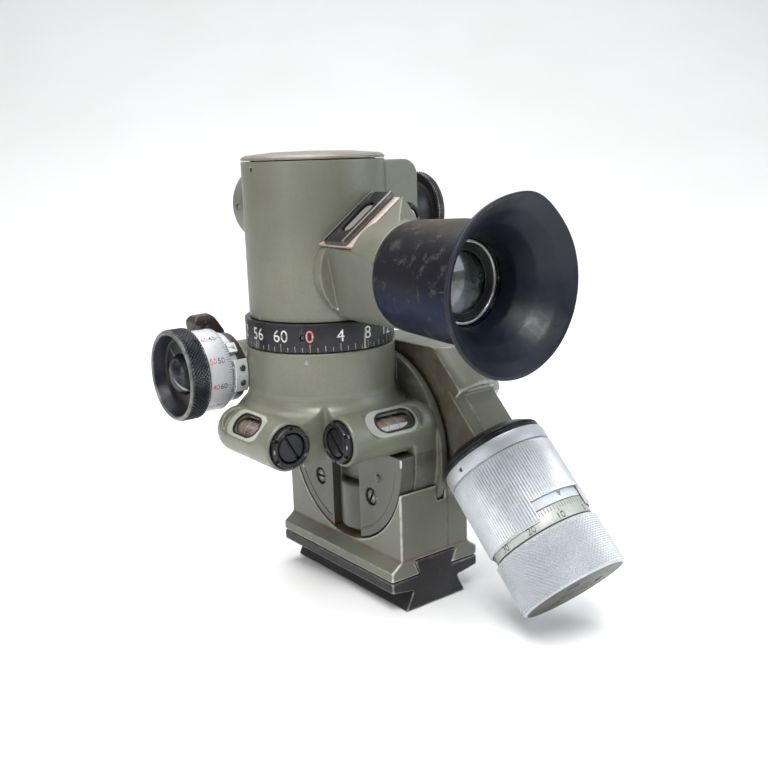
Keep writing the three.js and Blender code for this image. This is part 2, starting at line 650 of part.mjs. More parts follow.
function eyepieceBarrel() {
  return turned('y', [0, EYEPIECE_Z], [
    [10.9, BARREL_Y], [10.9, -75.6], [13, -75.6], [13, -78.1], [16.2, -78.1], [16.2, BARREL_END_Y],
    [18.7, BARREL_END_Y], [18.6, -70], [17.5, BARREL_Y], [10.9, BARREL_Y],
  ]);
}

function eyecup() {
  return turned('y', [0, EYEPIECE_Z], [
    [13.2, -78.4], [14.2, -84], [17.5, -90], [21.5, -95], [EYECUP_R - 1, EYECUP_Y + 0.2],
    [EYECUP_R - 0.3, EYECUP_Y], [EYECUP_R, EYECUP_Y + 0.5], [26, -97.2], [22.6, -94.2], [19.9, -90],
    [18.8, -86], [18.7, BARREL_END_Y - GAP], [15.9, BARREL_END_Y - GAP], [15.9, -78.4], [13.2, -78.4],
  ]);
}

function knobHousing() {
  const r = 6;
  const outline = [[20, 126]];
  outline.push([HOUSING_X, 126]);
  for (let i = 0; i <= 5; i += 1) {
    const a = (Math.PI / 2) * i / 5;
    outline.push([HOUSING_X - r + r * Math.cos(a), 159.2 - r + r * Math.sin(a)]);
  }
  outline.push([20, 159.2]);
  const block = prism('y', outline, -12, 12);
  const bushing = ring('x', [0, HEAD_KNOB_Z], 4.2, 6, 19, 32, COARSE);
  const bore = rod('x', [0, HEAD_KNOB_Z], 4.2, 0, 60, COARSE);
  const seat = rod('y', [32, 137.9], 5.7, -14, -10.5, COARSE);
  return cut(join(cut(block, tubeRoom()), bushing), bore, seat);
}

function headKnob() {
  return turned('x', [0, HEAD_KNOB_Z], [
    [0, 14], [3.9, 14], [3.9, HOUSING_X + GAP], [11, HOUSING_X + GAP], [11, 45.2],
    [HEAD_KNOB_R - 0.6, 45.2], [HEAD_KNOB_R, 45.8], [HEAD_KNOB_R, 48], [HEAD_KNOB_R - 0.8, 48.8], [0, 48.8],
  ]);
}

// plate mirror at 45 degrees on a cross shaft, turned by the head knob
function headMirror() {
  const plate = toGeometry(box([-11, 11], [-13.5, 13.5], [-1.6, 1.6]));
  plate.rotateX(-Math.PI / 4);
  plate.translate(0, 0, OBJECTIVE_Z);
  const shaft = rod('x', [0, OBJECTIVE_Z], 2.2, -13, 13, 16);
  return join(solid(plate), shaft);
}

function lowerPrism() {
  const c = EYEPIECE_Z;
  return prism('x', [[-9, c - 9], [9, c - 9], [9, c + 9]], -9, 9);
}

// ---------- azimuth drive, in the frame of the azimuth axis ----------

function microKnob() {
  const at = [MICRO_Y, MICRO_Z];
  const x = MICRO_OUTER_X;
  return turned('x', at, [
    [0, x + 2.6], [5, x + 2.6], [5, x + 4.6], [12.5, x + 4.6], [14.6, x], [15.6, x],
    [MICRO_R, x + 1], [MICRO_R, MICRO_KNURL_X - GAP], [0, MICRO_KNURL_X - GAP],
  ]);
}

function microDrum() {
  const at = [MICRO_Y, MICRO_Z];
  return turned('x', at, [
    [4, MICRO_KNURL_X], [MICRO_DRUM_R, MICRO_KNURL_X], [MICRO_DRUM_R, MICRO_INNER_X],
    [13.4, MICRO_INNER_X], [13.4, MICRO_KNURL_X + 2.5], [4, MICRO_KNURL_X + 2.5], [4, MICRO_KNURL_X],
  ]);
}

function azimuthWorm() {
  return turned('x', [MICRO_Y, MICRO_Z], [
    [0, MICRO_KNURL_X], [3.4, MICRO_KNURL_X], [3.4, -9], [AZIMUTH_WORM_R, -9], [AZIMUTH_WORM_R, 9],
    [2.6, 9], [2.6, 12], [0, 12],
  ], COARSE);
}

function wormBush() {
  const flange = ring('x', [MICRO_Y, MICRO_Z], 3.9, 13, MICRO_INNER_X + 0.6, BUSH_X, MEDIUM);
  const sleeve = ring('x', [MICRO_Y, MICRO_Z], 3.9, 5, -30, -11, COARSE);
  return join(flange, sleeve);
}

function indexPlate() {
  const at = [MICRO_Y, MICRO_Z];
  const band = ring('x', at, 13.4, MICRO_DRUM_R, MICRO_INNER_X + 0.5, BUSH_X + 0.1, FINE);
  const wedge = prism('x', [
    at, [MICRO_Y - 20.5, MICRO_Z + 21.9], [MICRO_Y - 27, MICRO_Z + 26], [MICRO_Y - 25.4, MICRO_Z + 15.9],
  ], -60, 0);
  return band.intersect(wedge);
}

function releaseLever() {
  const hub = ring('x', [MICRO_Y, MICRO_Z], 9.4, 12.6, BUSH_X + 0.4, -24.3, MEDIUM);
  const arm = prism('x', [
    [MICRO_Y + 7, MICRO_Z + 8.4], [MICRO_Y + 13.6, MICRO_Z + 7], [MICRO_Y + 17, 103.2], [MICRO_Y + 9, 104],
  ], -36, -24.3);
  const hubRoom = rod('x', [MICRO_Y, MICRO_Z], 9.4, -60, 0, MEDIUM);
  const swing = rod('x', [MICRO_Y, MICRO_Z], MICRO_R + 0.8, -60, BUSH_X + 0.4, FINE);
  return join(hub, cut(arm, hubRoom, swing));
}

// ---------- assembly ----------

add(base, 'adapter_plate', adapterPlate(), BLACKENED());
add(base, 'adapter_screw_rear', adapterScrew(-22), STEEL());
add(base, 'adapter_screw_front', adapterScrew(22), STEEL());
add(base, 'base_housing', baseHousing(), PAINT());
add(base, 'elevation_gear_cover', gearCover(), PAINT());
COVER_SCREWS.forEach((at, i) => add(base, `gear_cover_screw_${i + 1}`, coverScrew(at), STEEL()));
add(drum, 'worm_shaft_bush', wormShaftBush(), BRONZE());
add(drum, 'drum_flange', drumFlange(), BLACKENED());
add(drum, 'drum_hub', drumHub(), WHITE());

add(drum, 'selector_sleeve', selectorSleeve(), SATIN());
add(drum, 'elevation_scale', elevationScale(), SATIN());
add(drum, 'elevation_knob', elevationKnob(), SATIN());
add(drum, 'elevation_worm', elevationWorm(), STEEL());

add(sight, 'sight_body', sightBody(), PAINT());
add(sight, 'journal_cover', journalCover(), PAINT());
JOURNAL_SCREWS.forEach((y, i) => add(sight, `journal_screw_${i + 1}`, journalScrew(y), STEEL()));
add(sight, 'left_level_cap', levelCap('y', LEFT_LEVEL_Y[0]), BLACKENED());
add(sight, 'cross_level_cap', levelCap('x', CROSS_LEVEL_X[0]), BLACKENED());
add(sight, 'left_level_plug', levelPlug('y', LEFT_LEVEL_Y[0]), BLACKENED());
add(sight, 'cross_level_plug', levelPlug('x', CROSS_LEVEL_X[0]), BLACKENED());
add(sight, 'left_level_vial', levelVial('y', ...LEFT_LEVEL_Y), GLASS());
add(sight, 'cross_level_vial', levelVial('x', ...CROSS_LEVEL_X), GLASS());
add(sight, 'azimuth_bush', ring('z', [0, 0], SPIGOT_R + 0.06, 19.9, 91.3, 95.9, FINE), BRONZE());
add(sight, 'azimuth_worm_bush', wormBush(), SATIN());
add(sight, 'micrometer_index_plate', indexPlate(), WHITE());
const wheelX0 = DRUM_X - TUBE_X - 3.5;
add(sight, 'elevation_worm_wheel', join(
  rod('x', [SIGHT_TILT_Y, TILT_Z], WHEEL_R, wheelX0, wheelX0 + 7, FINE),
  rod('x', [SIGHT_TILT_Y, TILT_Z], 12.3, TRUNK_X1 + GAP, wheelX0 + 1, MEDIUM),
), BRONZE());

add(sight, 'head_tube', headTube(), PAINT());
add(sight, 'head_cap', headCap(), PAINT());
add(sight, 'cap_set_screw', rod('x', [0, TUBE_TOP_Z - 2.6], 0.7, -24.7, -22.4, 12), STEEL());
add(sight, 'azimuth_ring', azimuthRing(), BLACKENED());
add(sight, 'ring_set_screw', ringSetScrew(), STEEL());
const wheelRing = ring('z', [0, 0], SPIGOT_R + GAP, AZIMUTH_WHEEL_R, 82.3, 90.3, FINE);
add(sight, 'azimuth_worm_wheel', wheelRing, BRONZE());
add(sight, 'objective_barrel', objectiveBarrel(), PAINT());
const objectiveScrew = rod('x', [28.6, OBJECTIVE_Z - 0.5], 0.9, -14.2, -11.8, 12);
add(sight, 'objective_set_screw', objectiveScrew, STEEL());
add(sight, 'objective_lens', lens('y', [0, OBJECTIVE_Z], 10.5, 26, 1.2, 1.4), GLASS());
const objectiveRetainer = ring('y', [0, OBJECTIVE_Z], 9.3, 10.5, 28.6, 30.2, MEDIUM);
add(sight, 'objective_retainer', objectiveRetainer, BLACKENED());
add(sight, 'head_knob_housing', knobHousing(), PAINT());
add(sight, 'index_window', rod('y', [32, 137.9], 3.9, -12.6, -10.9, COARSE), GLASS());
const bezel = ring('y', [32, 137.9], 4.2, 5.4, -13.2, -10.9, COARSE);
add(sight, 'index_window_bezel', bezel, BLACKENED());
add(sight, 'eyepiece_block', eyepieceBlock(), PAINT());
add(sight, 'shoe_pad', shoePad(), RESIN());
add(sight, 'lamp_shoe', lampShoe(), BLACKENED());
add(sight, 'shoe_window', shoeWindow(), WHITE());
add(sight, 'lower_prism', lowerPrism(), GLASS());
add(sight, 'reticle', rod('y', [0, EYEPIECE_Z], 8.2, -32.2, -30.6, MEDIUM), GLASS());
add(sight, 'field_lens', lens('y', [0, EYEPIECE_Z], 10.4, -58, 1.2, 1.2), GLASS());
add(sight, 'eyepiece_barrel', eyepieceBarrel(), BLACKENED());
add(sight, 'eye_lens', lens('y', [0, EYEPIECE_Z], 10.5, -71, 1.4, 1.2), GLASS());
const eyeRetainer = ring('y', [0, EYEPIECE_Z], 9.4, 12.7, -77.8, -75.9, MEDIUM);
add(sight, 'eye_lens_retainer', eyeRetainer, STEEL());
add(sight, 'rubber_eyecup', eyecup(), RUBBER());
add(sight, 'head_knob', headKnob(), BLACKENED());
add(sight, 'head_mirror', headMirror(), GLASS());

add(sight, 'azimuth_micrometer_knob', microKnob(), BLACKENED());
add(sight, 'azimuth_micrometer_drum', microDrum(), SATIN());
add(sight, 'azimuth_worm', azimuthWorm(), STEEL());
add(sight, 'azimuth_release_lever', releaseLever(), RESIN());

export default root;
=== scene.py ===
import json
from math import atan2, cos, degrees, exp, pi, radians, sin, sqrt

import bmesh
import bpy
from mathutils import Matrix, Vector


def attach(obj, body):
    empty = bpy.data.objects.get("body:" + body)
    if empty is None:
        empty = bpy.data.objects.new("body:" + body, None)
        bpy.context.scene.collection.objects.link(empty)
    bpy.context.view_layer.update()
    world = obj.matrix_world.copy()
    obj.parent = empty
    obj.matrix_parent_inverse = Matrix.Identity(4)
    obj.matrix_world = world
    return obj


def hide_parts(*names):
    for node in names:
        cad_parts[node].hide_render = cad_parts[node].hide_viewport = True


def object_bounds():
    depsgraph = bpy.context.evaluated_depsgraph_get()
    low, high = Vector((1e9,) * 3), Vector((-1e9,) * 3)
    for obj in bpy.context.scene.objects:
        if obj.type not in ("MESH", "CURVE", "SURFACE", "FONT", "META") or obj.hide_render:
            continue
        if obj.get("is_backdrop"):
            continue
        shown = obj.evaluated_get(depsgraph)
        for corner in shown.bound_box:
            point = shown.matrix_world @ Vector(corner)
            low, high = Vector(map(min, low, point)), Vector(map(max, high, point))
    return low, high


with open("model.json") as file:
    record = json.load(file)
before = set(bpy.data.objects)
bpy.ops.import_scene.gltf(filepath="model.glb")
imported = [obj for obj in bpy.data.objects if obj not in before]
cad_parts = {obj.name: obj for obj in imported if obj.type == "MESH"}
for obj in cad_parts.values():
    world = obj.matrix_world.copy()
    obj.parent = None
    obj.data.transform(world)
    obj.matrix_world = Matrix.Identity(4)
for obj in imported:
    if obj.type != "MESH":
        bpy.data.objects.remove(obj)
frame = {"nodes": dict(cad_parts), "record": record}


def plain_bounds(value):
    if isinstance(value, dict):
        return {k: plain_bounds(v) for k, v in value.items()}
    if isinstance(value, (list, tuple, Vector)):
        return [plain_bounds(v) for v in value]
    return float(value)


size_at_load = plain_bounds(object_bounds())
scene = bpy.context.scene


def shift(x, y, z):
    return Matrix.Translation((x, y, z))


def spin(angle, axis):
    return Matrix.Rotation(angle, 4, axis)



# ---------------------------------------------------------------- dimensions, millimetres

MM = 0.001
TILT_Y, TILT_Z = -1.7, 54.7         # axis about which the sight body tilts
TUBE_X, TUBE_Y = -21.2, 1.8         # axis of the upright tube
TUBE_R = 25
SIGHT = shift(TUBE_X, TUBE_Y, 0)    # frame of the sight body and head: Z is the tube's axis
PIVOT_Y = TILT_Y - TUBE_Y           # the tilt axis in that frame
TILT, PIVOT = (TILT_Y, TILT_Z), (PIVOT_Y, TILT_Z)
WORM_REACH = 35 * sqrt(0.5)    # from the tilt axis to the drum's axis, in Y and in Z
LEAN = radians(135)
DRUM = shift(15.8, TILT_Y - WORM_REACH, TILT_Z + WORM_REACH) @ spin(LEAN, "X")
HALF_LENGTH = 35.5                  # of the foot and block, along Y
PLATE_HALF = 20.3                   # half width of the foot plate and the block's flange
BLOCK_HALF = 16
EYE_Z = 123.6                       # axes of the eyepiece, the objective and the head knob
OBJ_Z = 144.3
KNOB_Z = 139.8
MICRO = (25, 86.3)                  # axis of the azimuth micrometer, in Y and Z of the sight frame
LEVEL = (-30.2, 66.9)               # axis of either level: offset from the tube, and height
LEVEL_ENDS = {"y": (-23, 14), "x": (-14.6, 23.4)}
INDEX_WINDOW = (32, 137.9)
SHOE_TURN = radians(36)        # turn of the lamp shoe about the eyepiece's axis
SHOE_SLOT_Y = -31.3
SCALE_R, RING_R, MICRO_R = 18.4, 26.8, 14.9
RIBS, RIB_STEPS = 118, 8            # round the selector sleeve
DIVISIONS = 64                      # of the azimuth ring

# ---------------------------------------------------------------- mesh helpers


def settle(ob, kind, **settings):
    """Runs one modifier and keeps its result as the mesh."""
    mod = ob.modifiers.new(kind, kind)
    for key, value in settings.items():
        setattr(mod, key, value)
    graph = bpy.context.evaluated_depsgraph_get()
    mesh = bpy.data.meshes.new_from_object(ob.evaluated_get(graph), depsgraph=graph)
    ob.modifiers.clear()
    old = ob.data
    ob.data = mesh
    bpy.data.meshes.remove(old)
    return ob


def linked(name, data):
    ob = bpy.data.objects.new(name, data)
    scene.collection.objects.link(ob)
    return ob


def outward(mesh):
    """Turns the faces of a closed mesh to the outside."""
    bm = bmesh.new()
    bm.from_mesh(mesh)
    bmesh.ops.recalc_face_normals(bm, faces=bm.faces)
    bm.to_mesh(mesh)
    bm.free()


def solid(verts, faces):
    mesh = bpy.data.meshes.new("work")
    mesh.from_pydata(verts, [], faces)
    outward(mesh)
    return linked("work", mesh)


def on_axis(axis, at, c, s, station):
    """A point given as radius times cosine and sine about an axis, at a station on it."""
    if axis == "x":
        return (station, at[0] + c, at[1] + s)
    if axis == "y":
        return (at[0] + c, station, at[1] + s)
    return (at[0] + c, at[1] + s, station)


def lathe(axis, at, profile, sides=144, relief=None, woven=True):
    """Body of revolution; relief(i, k) is taken off the radius at side i of profile point k.
    Woven splits the faces of a relief into triangles whose diagonals alternate."""
    woven = woven and relief is not None
    closed = profile[0] == profile[-1]
    points = profile[:-1] if closed else profile
    verts, faces, rings = [], [], []
    for k, (r, s) in enumerate(points):
        if r < 1e-6:
            rings.append([len(verts)])
            verts.append(on_axis(axis, at, 0, 0, s))
            continue
        rings.append(list(range(len(verts), len(verts) + sides)))
        for i in range(sides):
            rr = r - (relief(i, k) if relief else 0)
            a = 2 * pi * i / sides
            verts.append(on_axis(axis, at, rr * cos(a), rr * sin(a), s))
    pairs = list(zip(rings, rings[1:]))
    if closed:
        pairs.append((rings[-1], rings[0]))
    for k, (low, high) in enumerate(pairs):
        if len(low) == 1 and len(high) == 1:
            continue
        for i in range(sides):
            j = (i + 1) % sides
            if len(low) == 1:
                faces.append((low[0], high[i], high[j]))
            elif len(high) == 1:
                faces.append((low[i], low[j], high[0]))
            elif woven and (i + k) % 2:
                faces.append((low[i], low[j], high[j]))
                faces.append((low[i], high[j], high[i]))
            elif woven:
                faces.append((low[i], low[j], high[i]))
                faces.append((low[j], high[j], high[i]))
            else:
                faces.append((low[i], low[j], high[j], high[i]))
    return solid(verts, faces)


def eased(profile, r=0.4, n=3):
    """Rounds the corners of a lathe profile."""
    closed = profile[0] == profile[-1]
    pts = [Vector(p) for p in (profile[:-1] if closed else profile)]
    out = []
    count = len(pts)
    for i, p in enumerate(pts):
        if not closed and i in (0, count - 1):
            out.append(tuple(p))
            continue
        a, b = pts[i - 1] - p, pts[(i + 1) % count] - p
        cut_at = min(r, a.length * 0.45, b.length * 0.45)
        start, end = p + a.normalized() * cut_at, p + b.normalized() * cut_at
        for k in range(n + 1):
            t = k / n
            q = start * (1 - t) ** 2 + p * 2 * t * (1 - t) + end * t ** 2
            out.append((q.x, q.y))
    if closed:
        out.append(out[0])
    return out


def turned(axis, at, profile, sides=144, r=0.4, n=3):
    return lathe(axis, at, eased(profile, r, n), sides)


def rod(axis, at, r, a, b, sides=96, r2=None):
    return lathe(axis, at, [(0, a), (r, a), (r if r2 is None else r2, b), (0, b)], sides)


def ring(axis, at, inner, outer, a, b, sides=96):
    return lathe(axis, at, [(inner, a), (outer, a), (outer, b), (inner, b), (inner, a)], sides)


BOX_FACES = [(0, 1, 3, 2), (4, 6, 7, 5), (0, 4, 5, 1), (2, 3, 7, 6), (0, 2, 6, 4), (1, 5, 7, 3)]


def box(xs, ys, zs):
    return solid([(x, y, z) for x in xs for y in ys for z in zs], BOX_FACES)


def prism(axis, points, a, b):
    n = len(points)
    verts = [on_axis(axis, (0, 0), *p, s) for s in (a, b) for p in points]
    faces = [tuple(range(n)), tuple(range(2 * n - 1, n - 1, -1))]
    faces += [(i, (i + 1) % n, n + (i + 1) % n, n + i) for i in range(n)]
    return solid(verts, faces)


def boolean(a, b, operation):
    settle(a, "BOOLEAN", object=b, operation=operation, solver="MANIFOLD")
    bpy.data.objects.remove(b)
    return a


def join(first, *rest):
    for other in rest:
        boolean(first, other, "UNION")
    return first


def cut(first, *tools):
    for tool in tools:
        boolean(first, tool, "DIFFERENCE")
    return first


def both(first, other):
    return boolean(first, other, "INTERSECT")


def moved(ob, matrix):
    ob.data.transform(matrix)
    return ob


def slot_tool(half, r, depth0, depth1, middle=0.0, sides=48):
    """Slot with round ends along X, from depth0 to depth1 in Z."""
    pts = []
    for end in (1, -1):
        for i in range(sides // 2 + 1):
            a = -end * pi / 2 + pi * i / (sides // 2)
            pts.append((middle + end * half + r * cos(a), r * sin(a)))
    return prism("z", pts, depth0, depth1)


def cast(ob, voxel=0.45, rounds=4, factor=0.5):
    """Gives a boolean body the rounded edges of a casting."""
    size = voxel * 1
    settle(ob, "REMESH", mode="VOXEL", voxel_size=size, use_smooth_shade=True)
    return settle(ob, "SMOOTH", factor=factor, iterations=rounds)


def bevelled(ob, width=0.3, segments=3):
    return settle(ob, "BEVEL", width=width, segments=segments, limit_method="ANGLE", angle_limit=radians(30))


def merged(*obs):
    """Several closed bodies kept in one mesh."""
    bm = bmesh.new()
    for ob in obs:
        bm.from_mesh(ob.data)
    mesh = bpy.data.meshes.new("work")
    bm.to_mesh(mesh)
    bm.free()
    for ob in obs:
        bpy.data.objects.remove(ob)
    return linked("work", mesh)


# ---------------------------------------------------------------- materials


def tree_of(name):
    mat = bpy.data.materials.new(name)
    mat.use_nodes = True
    tree = mat.node_tree
    return mat, tree, tree.nodes["Principled BSDF"]


def grey(v):
    return (v, v, v, 1)


def rgba(color):
    return color if len(color) == 4 else (*color, 1)


def plug(tree, socket, value):
    """Sets a socket to a number or a colour, or links it to another node's output."""
    if isinstance(value, (int, float)):
        socket.default_value = value
    elif isinstance(value, tuple):
        socket.default_value = rgba(value)
    else:
        tree.links.new(value, socket)


def feed(tree, target, **inputs):
    for key, value in inputs.items():
        plug(tree, target.inputs[key.replace("_", " ")], value)
    return target


def node(tree, kind, **inputs):
    return feed(tree, tree.nodes.new(kind), **inputs)


def object_coords(tree):
    return node(tree, "ShaderNodeTexCoord").outputs["Object"]


def pointiness(tree):
    return node(tree, "ShaderNodeNewGeometry").outputs["Pointiness"]


def noise(tree, coords, scale, detail=4.0, rough=0.55):
    n = node(tree, "ShaderNodeTexNoise", Vector=coords, Scale=scale, Detail=detail, Roughness=rough)
    return n.outputs["Fac"]


def split_xyz(tree, coords):
    return node(tree, "ShaderNodeSeparateXYZ", Vector=coords).outputs


def spread(tree, value, low, high):
    """Stretches low to high over 0 to 1."""
    return node(tree, "ShaderNodeMapRange", Value=value, From_Min=low, From_Max=high).outputs["Result"]


def ramp(tree, value, stops):
    n = node(tree, "ShaderNodeValToRGB", Fac=value)
    while len(n.color_ramp.elements) < len(stops):
        n.color_ramp.elements.new(0.5)
    for element, (place, color) in zip(n.color_ramp.elements, stops):
        element.position = place
        element.color = rgba(color)
    return n.outputs["Color"]


def grey_ramp(tree, value, start, low, end, high):
    """Grey that goes from low to high while the value goes from start to end."""
    return ramp(tree, value, [(start, grey(low)), (end, grey(high))])


def math_node(tree, operation, a, b):
    n = node(tree, "ShaderNodeMath")
    n.operation = operation
    for socket, value in zip(n.inputs, (a, b)):
        plug(tree, socket, value)
    return n.outputs[0]


def product(tree, a, b):
    return math_node(tree, "MULTIPLY", a, b)


def total(tree, a, b):
    return math_node(tree, "ADD", a, b)


def mixed(tree, factor, a, b):
    n = node(tree, "ShaderNodeMix")
    n.data_type = "RGBA"
    for socket, value in ((n.inputs["Factor"], factor), (n.inputs[6], a), (n.inputs[7], b)):
        plug(tree, socket, value)
    return n.outputs[2]


def bumped(tree, shader, height, strength, distance=0.0003):
    bump = node(tree, "ShaderNodeBump", Height=height, Strength=strength, Distance=distance)
    feed(tree, shader, Normal=bump.outputs["Normal"])


WAVER = 0.0008                      # metres, how far a strip's border wanders
GRAIN_TONE = 0.72                   # brightness of the grain against the darker tone


def stained(tree, coords, middle, tone, bands):
    """Lays strips over a tone, each with a wavering border: stains, and painted shade where a band darkens a
    part that lies in shadow.
    """
    outputs = split_xyz(tree, coords)
    for letter, low_mm, high_mm, tint, strength in bands:
        place = total(tree, outputs[letter], product(tree, middle, 2 * WAVER))
        above = math_node(tree, "GREATER_THAN", place, low_mm * MM + WAVER)
        below = math_node(tree, "LESS_THAN", place, high_mm * MM + WAVER)
        cover = grey_ramp(tree, middle, 0.36, 0.1, 0.62, strength)
        tone = mixed(tree, product(tree, product(tree, above, below), cover), tone, tint)
    return tone


def surface(name, low, high, wear, rough, metal=0.0, wear_metal=1.0, edge=(0.53, 0.58), grime=None,
            patch=55.0, fine=900.0, bump=0.12, spots=0.64, coat=0.0, wear_rough=0.35, stain=None, bands=(),
            gloss=0.5):
    """Mottled finish: two tones, worn edges and spots, grime in the corners, and a fine bump.
    Each band is (axis letter, low, high in mm, colour, strength): a strip of the object that carries a stain,
    or painted shade where the part lies in shadow. Tinted patches are a stain on the foot and a painted
    reflection on the head cap."""
    mat, tree, shader = tree_of(name)
    coords = object_coords(tree)
    grain = noise(tree, coords, fine, 3)
    middle = noise(tree, coords, patch * 5, 6, 0.65)
    tone = ramp(tree, noise(tree, coords, patch, 5), [(0.3, low), (0.7, high)])
    tone = mixed(tree, grey_ramp(tree, grain, 0.35, 0, 0.75, 0.35), tone, tuple(c * GRAIN_TONE for c in low))
    point = pointiness(tree)
    if grime:
        deep = grey_ramp(tree, point, 0.42, 1, 0.495, 0)
        deep = product(tree, deep, grey_ramp(tree, middle, 0.35, 0.15, 0.6, 1))
        tone = mixed(tree, deep, tone, grime)
    if stain:
        start, tint = stain
        tone = mixed(tree, grey_ramp(tree, middle, start, 0, start + 0.08, 0.55), tone, tint)
    if bands:
        tone = stained(tree, coords, middle, tone, bands)
    raised = total(tree, point, product(tree, middle, 0.06))
    worn = grey_ramp(tree, raised, edge[0] + 0.03, 0, edge[1] + 0.03, 1)
    chips = grey_ramp(tree, noise(tree, coords, patch * 9, 8, 0.7), spots, 0, spots + 0.03, 0.8)
    worn = math_node(tree, "MAXIMUM", worn, chips)
    dull = grey_ramp(tree, middle, 0.3, rough - 0.09, 0.7, rough + 0.09)
    feed(
        tree, shader, Base_Color=mixed(tree, worn, tone, wear),
        Roughness=mixed(tree, worn, dull, grey(wear_rough)),
        Metallic=mixed(tree, worn, grey(metal), grey(wear_metal)), Coat_Weight=coat,
        Coat_Roughness=0.3 if coat < 0.5 else 0.03, Specular_IOR_Level=gloss,
    )
    bumped(tree, shader, total(tree, grain, product(tree, middle, 0.7)), bump)
    return mat


RUST = (0.085, 0.043, 0.024)
BARE = (0.42, 0.41, 0.38)
BROWN = (0.075, 0.05, 0.033)
GREEN_LOW, GREEN_HIGH = (0.092, 0.094, 0.069), (0.128, 0.131, 0.097)
LOOK = {}


def finish(name, *tones, **settings):
    LOOK[name] = surface(name, *tones, **settings)


def painted(name, low=GREEN_LOW, high=GREEN_HIGH, **extra):
    settings = dict(metal=0.0, wear_metal=0.4, grime=(0.03, 0.024, 0.016), patch=34, fine=1500, bump=0.14,
                    spots=0.75, edge=(0.56, 0.62), coat=0.15)
    settings.update(extra)
    finish(name, low, high, BARE, 0.43, **settings)


def printed(name, low, high, wear, rough=0.5, spots=0.72, bump=0.04, **extra):
    finish(name, low, high, wear, rough, wear_metal=0.0, spots=spots, bump=bump, **extra)


painted("paint")
painted("paint_base", edge=(0.515, 0.55), bands=[("Z", 19.2, 20.3, RUST, 0.8), ("X", 5.5, 6.6, BROWN, 0.75)])
# The second band darkens the trunk from 5 to 58.6 mm up: painted shade under the level platform. The first
# band is a lighter strip from 79.8 to 81.5 mm.
painted("paint_body",
        bands=[("Z", 79.8, 81.5, (0.15, 0.155, 0.12), 0.5), ("Z", 5, 58.6, (0.05, 0.05, 0.038), 0.75)])
# The journal cover's paint is darker than the rest of the paint: painted shade, as the cover lies in shadow.
# Its band is a brown stain.
painted("paint_journal_painted_shade", (0.044, 0.045, 0.034), (0.068, 0.069, 0.053),
        bands=[("Z", 20.5, 24.5, (0.10, 0.05, 0.026), 0.7)])
# The head cap's brownish tones and reddish-brown patches are a painted reflection of the surroundings, in
# place of the green paint.
painted("paint_cap_painted_reflection", (0.12, 0.105, 0.09), (0.165, 0.145, 0.125), edge=(0.54, 0.59),
        stain=(0.5, (0.13, 0.085, 0.07)))
finish("dark", (0.009, 0.009, 0.011), (0.020, 0.020, 0.023), (0.24, 0.225, 0.20), 0.38, metal=0.3,
       edge=(0.54, 0.585), spots=0.7, grime=(0.03, 0.02, 0.014), bump=0.1, coat=0.1, gloss=0.3)
finish("foot", (0.018, 0.017, 0.019), (0.040, 0.038, 0.040), (0.26, 0.25, 0.24), 0.42, metal=0.4,
       edge=(0.52, 0.56), spots=0.7, grime=(0.04, 0.022, 0.013), bump=0.12, stain=(0.6, (0.06, 0.035, 0.028)),
       gloss=0.35)
finish("satin", (0.44, 0.46, 0.48), (0.54, 0.56, 0.59), (0.74, 0.76, 0.78), 0.46, metal=0.4, wear_metal=0.8,
       edge=(0.55, 0.60), spots=0.88, grime=(0.13, 0.13, 0.125), bump=0.05, patch=60, fine=2500,
       wear_rough=0.33)
finish("steel", (0.24, 0.24, 0.24), (0.36, 0.36, 0.35), (0.6, 0.6, 0.59), 0.36, metal=0.95, bump=0.08)
finish("screws", (0.04, 0.038, 0.036), (0.10, 0.095, 0.09), (0.42, 0.40, 0.37), 0.4, metal=0.8, grime=RUST,
       spots=0.64)
finish("bronze", (0.40, 0.25, 0.09), (0.55, 0.37, 0.15), (0.7, 0.5, 0.25), 0.36, metal=0.95)
printed("white", (0.45, 0.49, 0.54), (0.56, 0.60, 0.65), (0.35, 0.33, 0.29), spots=0.76,
        grime=(0.2, 0.18, 0.14), bump=0.05)
finish("rubber", (0.003, 0.004, 0.008), (0.007, 0.010, 0.018), (0.028, 0.034, 0.046), 0.43, wear_metal=0.0,
       wear_rough=0.55, bump=0.1, spots=0.7, edge=(0.54, 0.62), gloss=0.3)
finish("blue_black", (0.002, 0.003, 0.007), (0.006, 0.008, 0.016), (0.24, 0.235, 0.23), 0.4, gloss=0.22,
       edge=(0.525, 0.565), spots=0.72, grime=(0.02, 0.016, 0.012), bump=0.08)
finish("lever", (0.014, 0.008, 0.006), (0.034, 0.018, 0.013), (0.16, 0.10, 0.075), 0.4, wear_metal=0.1,
       bump=0.1, edge=(0.55, 0.61), coat=0.1)
finish("resin", (0.035, 0.02, 0.015), (0.075, 0.042, 0.03), (0.2, 0.13, 0.1), 0.36, wear_metal=0.1, bump=0.1,
       edge=(0.54, 0.6), coat=0.3)
finish("pad", (0.14, 0.088, 0.078), (0.21, 0.14, 0.125), (0.36, 0.30, 0.27), 0.5, wear_metal=0.1, bump=0.12,
       spots=0.62, grime=(0.05, 0.03, 0.025))
printed("ink", (0.012, 0.012, 0.012), (0.03, 0.03, 0.03), (0.2, 0.2, 0.2), 0.6)
printed("red", (0.46, 0.05, 0.035), (0.58, 0.085, 0.06), (0.4, 0.22, 0.2), 0.55)
printed("figure", (0.46, 0.46, 0.44), (0.62, 0.62, 0.60), (0.2, 0.2, 0.19), spots=0.66)
printed("frosted", (0.22, 0.24, 0.24), (0.34, 0.37, 0.37), (0.15, 0.15, 0.14), 0.4, spots=0.7, patch=160)
finish("scale_ring", (0.34, 0.36, 0.315), (0.43, 0.45, 0.40), (0.6, 0.6, 0.58), 0.45, metal=0.3,
       edge=(0.55, 0.60), spots=0.85, bump=0.05, patch=60)
